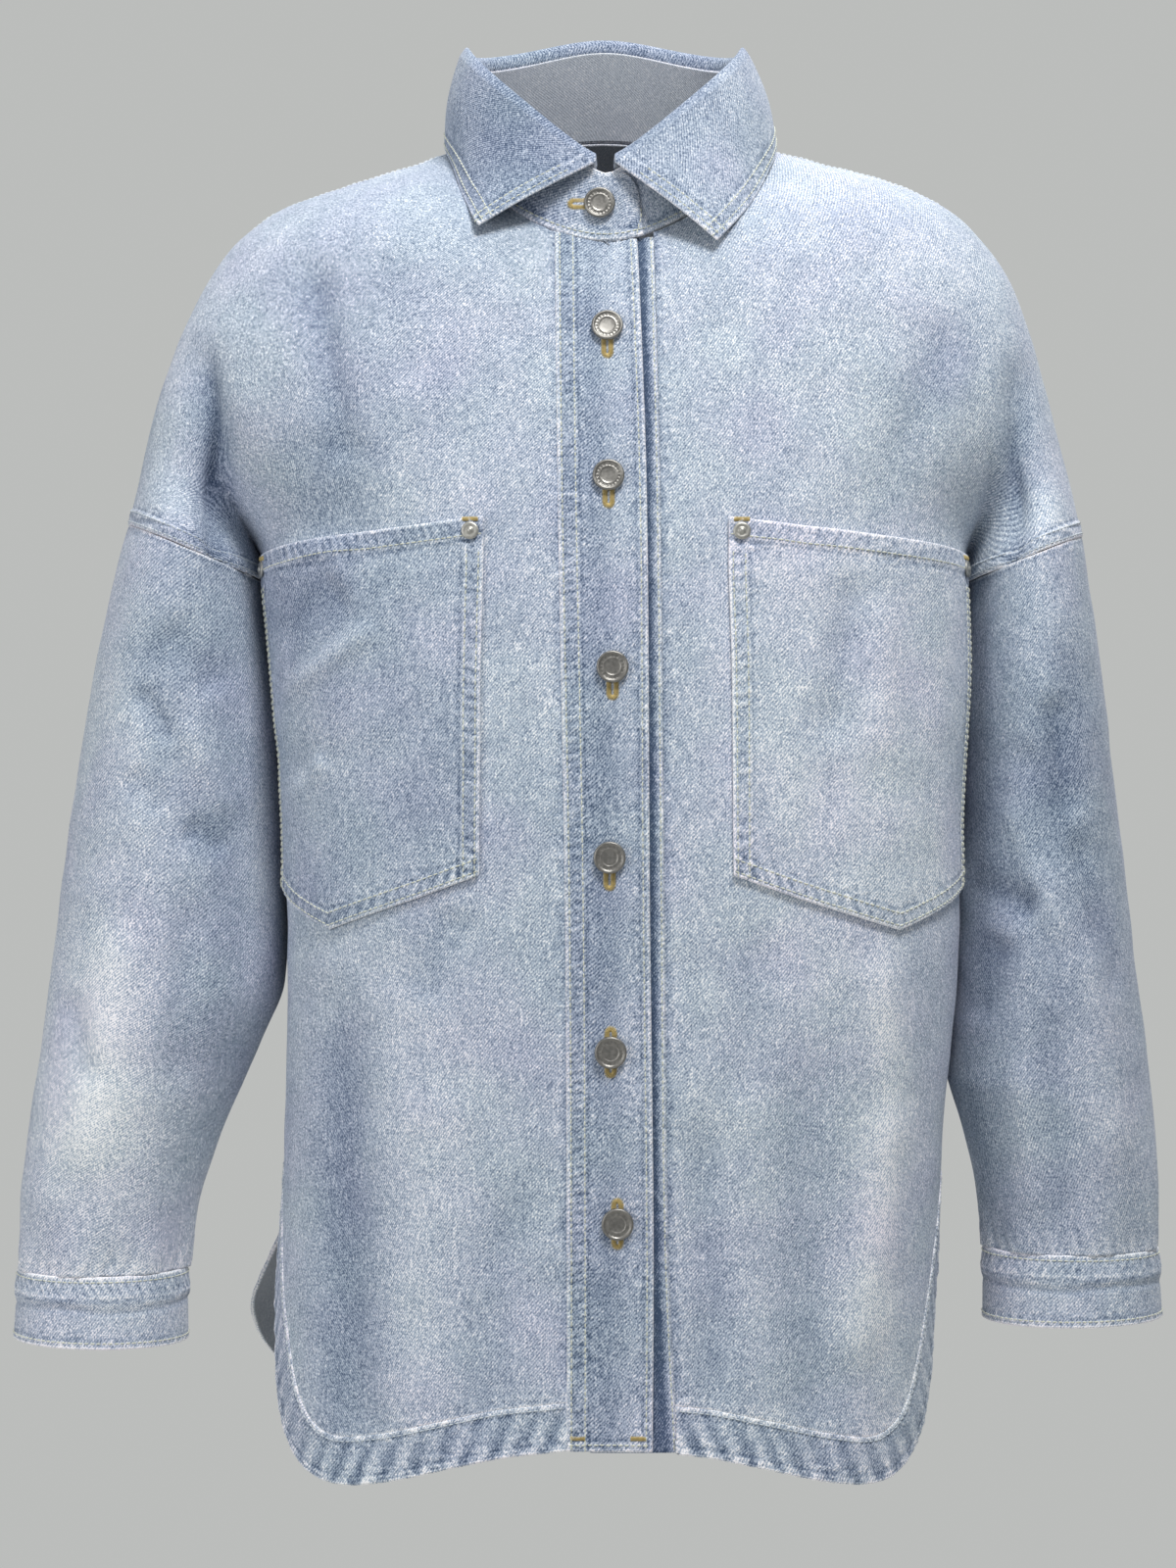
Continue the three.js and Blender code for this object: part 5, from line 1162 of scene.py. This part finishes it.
# The buttonholes: cut slots bound with dense gold stitches, upright down the placket and level on the stand,
# which show only past the button that fills each one. Short gold bars hold the placket's foot.
BUTTONS = table(
    "across down holeAbove holeBelow",
    (-3.2, 41, 14.5, 2), (0.9, 112, 5, 14.5), (1.4, 194, 5, 14.5), (3.5, 296, 5, 14.5),
    (1.9, 397, 5, 14.5), (2.5, 500, 10.6, 10.6), (6.1, 591, 10.6, 10.6),
)
HOLE = {"half": 1.9, "lift": 0.15, "pitch": 0.62, "length": 3.2, "radius": 0.38}
BARS = table("across down toAcross toDown", (-19, 704.5, -11, 704.5), (13, 704.5, 21, 704.5))
BARS_LIFT = 0.2  # of the bars above the placket
BAR = {"pitch": 0.62, "length": 2.6, "radius": 0.36}
thread_gold = plain_material("thread_gold", (0.6, 0.47, 0.2), 0.7, grain=0.3)


def settled(points, normals, lift):
    """Points moved onto the folded cloth and out from it by the lift, along their own normals."""
    depth = fold_depth(points, normals, BODY_FOLDS) + soft_waves(points)
    return points + normals * (lift - depth)[..., None]


def on_cloth(at, across, down, lift, near=3.0):
    """Places on a piece and their normals, from four points a little way round each."""
    across, down = np.broadcast_arrays(np.asarray(across, float), np.asarray(down, float))
    level = at(across + near, down) - at(across - near, down)
    upright = at(across, down + near) - at(across, down - near)
    normals = np.cross(upright, level)
    normals /= np.linalg.norm(normals, axis=-1, keepdims=True)
    return settled(at(across, down), normals, lift), normals


def on_stand(across, down):
    """A point of the stand's front, which leans in a little as it rises from the neckline."""
    foot = neck_point(np.degrees(np.arctan2(-across, YOKE["front"][0])))
    up = np.clip((-down - foot[..., 2]) / STAND_HEIGHT, 0, 1)
    return np.stack([foot[..., 0], foot[..., 1] * mix(1, STAND["lean"], up), -down], -1)


def slot_path(start, end, half, count=90):
    """The outline of a slot between two ends, as shares round it turned into places along and across it."""
    turn = np.linspace(0, 2 * np.pi, count)
    along = mix(start, end, ease(np.sin(turn) * 4 + 0.5)) + half * np.clip(np.sin(turn), -1, 1)
    return along, half * np.cos(turn)


across, down, above, below = (BUTTONS[column][1:, None] for column in BUTTONS)
along, beside = slot_path(down - above, down + below, HOLE["half"])
holes = zip(*on_cloth(front_point, across + beside, along, PLACKET["proud"] + HOLE["lift"]))
stitch_size = {key: HOLE[key] for key in ("pitch", "length", "radius")}
placket_sewn.append(stitches("buttonholes", holes, thread_gold, across=True, **stitch_size))
share = np.linspace(0, 1, 12)
across, down, to_across, to_down = (BARS[column][:, None] for column in BARS)
bars = zip(*on_cloth(front_point, mix(across, to_across, share), mix(down, to_down, share),
                     PLACKET["proud"] + BARS_LIFT))
placket_sewn.append(stitches("placket_bars", bars, thread_gold, across=True, **BAR))
across, down, before, behind = (BUTTONS[name][0] for name in BUTTONS)
along, beside = slot_path(across - before, across + behind, HOLE["half"])
hole = on_cloth(on_stand, along, down + beside, STAND["lap"] + HOLE["lift"])
stand_sewn.append(stitches("stand_buttonhole", [hole], thread_gold, across=True, **stitch_size))

# The tack buttons: dull antique nickel caps on short shanks, pressed through the cloth, each with a raised rim,
# an inner ring and plain dots.
BUTTON_PROFILE = table(
    "radius height", (0, -0.3), (3.2, -0.3), (3.2, 0.9), (7.6, 0.9), (8.3, 1.2), (8.6, 1.9), (8.5, 2.7),
    (8.1, 3.2), (7.6, 3.4), (7.1, 3.25), (6.8, 2.8), (6.5, 2.6), (5.3, 2.55), (5.0, 2.75), (4.7, 2.85),
    (4.4, 2.7), (4.1, 2.45), (2.5, 2.35), (0.02, 2.3),
)
DOTS = {"count": 20, "radius": 5.95, "half": 0.42, "height": 0.32, "power": 6}
DOTS_FROM = 1.5  # height above which a surface of the profile is the cap's face
SEAT = 0.3  # the profiles start this far below their own zero, and so sit on the cloth


def turned(name, profile, place, normal, material, sides=96, samples=46, dots=None):
    """A lathe-turned piece on the cloth: its profile, sampled evenly and turned round its normal. A ring of
    small dots may rise from it, as bells across the ring times a power of the cosine round it."""
    steps = np.hypot(np.diff(profile["radius"]), np.diff(profile["height"]))
    run = np.concatenate([[0], np.cumsum(steps)])
    at = np.linspace(0, run[-1], samples)
    radius, height = (np.interp(at, run, profile[column])[:, None] for column in ("radius", "height"))
    turn = around(sides)
    if dots:
        ring = np.exp(-((radius - dots["radius"]) / dots["half"]) ** 2) * (height > DOTS_FROM)
        height = height + dots["height"] * ring * np.cos(turn * dots["count"] / 2) ** dots["power"]
    side = np.cross(normal, (0, 0, 1))
    side /= np.linalg.norm(side)
    up = np.cross(side, normal)
    grid = place + (radius * np.cos(turn))[..., None] * side + (radius * np.sin(turn))[..., None] * up
    grid = grid + (height + 0 * turn)[..., None] * normal
    index = np.arange(samples * sides).reshape(samples, sides)
    after = np.roll(index, -1, 1)
    faces = np.stack([index[:-1], after[:-1], after[1:], index[1:]], -1).reshape(-1, 4)
    made = smooth_mesh(name + "_turned", grid.reshape(-1, 3), faces, material)
    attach(made, "root")
    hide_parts(name)
    return made


nickel = plain_material("antique_nickel", (0.27, 0.26, 0.24), 0.42, metallic=0.85, grain=0.4, size=1.6)
across, down = BUTTONS["across"], BUTTONS["down"]
on_placket = on_cloth(front_point, across[1:], down[1:], PLACKET["proud"] + SEAT)
on_neck = on_cloth(on_stand, across[0], down[0], STAND["lap"] + SEAT)
for number, (place, normal) in enumerate([on_neck, *zip(*on_placket)], 1):
    turned(f"button_{number}", BUTTON_PROFILE, place, normal, nickel, dots=DOTS)

# The rivets: pale pressed caps with a raised point, set through the pocket's hem under each of its upper
# corners, with a short gold bartack above each one.
RIVET = {"insetTurn": 2.4, "below": 7.5}
RIVET_PROFILE = table(
    "radius height", (0, -0.3), (4.5, -0.3), (4.8, 0.1), (4.6, 0.6), (3.9, 1.0), (3.2, 1.0), (2.3, 0.8),
    (1.7, 1.0), (1.2, 1.7), (0.5, 1.95), (0.02, 2.0),
)
TACK = {"half": 4.6, "above": 6.2, "lift": 0.1}
rivet_metal = plain_material("rivet_metal", (0.46, 0.45, 0.41), 0.45, metallic=0.8, grain=0.3, size=1.2)
for name, side in (("right", RIGHT), ("left", LEFT)):
    tacks = []
    for place_name, turn, top in (("inner", POCKET["innerTurn"] + RIVET["insetTurn"], POCKET["topInner"]),
                                  ("outer", POCKET["outerTurn"] - RIVET["insetTurn"], POCKET["topOuter"])):
        def on_pocket(across, down, side=side, turn=turn):
            return pocket_point(side, turn + side["way"] * across / ARC, down)
        lift = DENIM + POCKET["seat"] + POCKET["hemProud"]
        down = top + RIVET["below"]
        place, normal = on_cloth(on_pocket, [0.0], [down], lift + SEAT)
        turned(f"rivet_{name}_{place_name}", RIVET_PROFILE, place[0], normal[0], rivet_metal, 48, 30)
        level = np.linspace(-TACK["half"], TACK["half"], 12)
        tacks.append(on_cloth(on_pocket, level, down - TACK["above"] + 0 * level, lift + TACK["lift"]))
    pocket = "pocket_" + name
    sewn = pocket_sewn[pocket] + [stitches(pocket + "_bartacks", tacks, thread_gold, across=True, **BAR)]
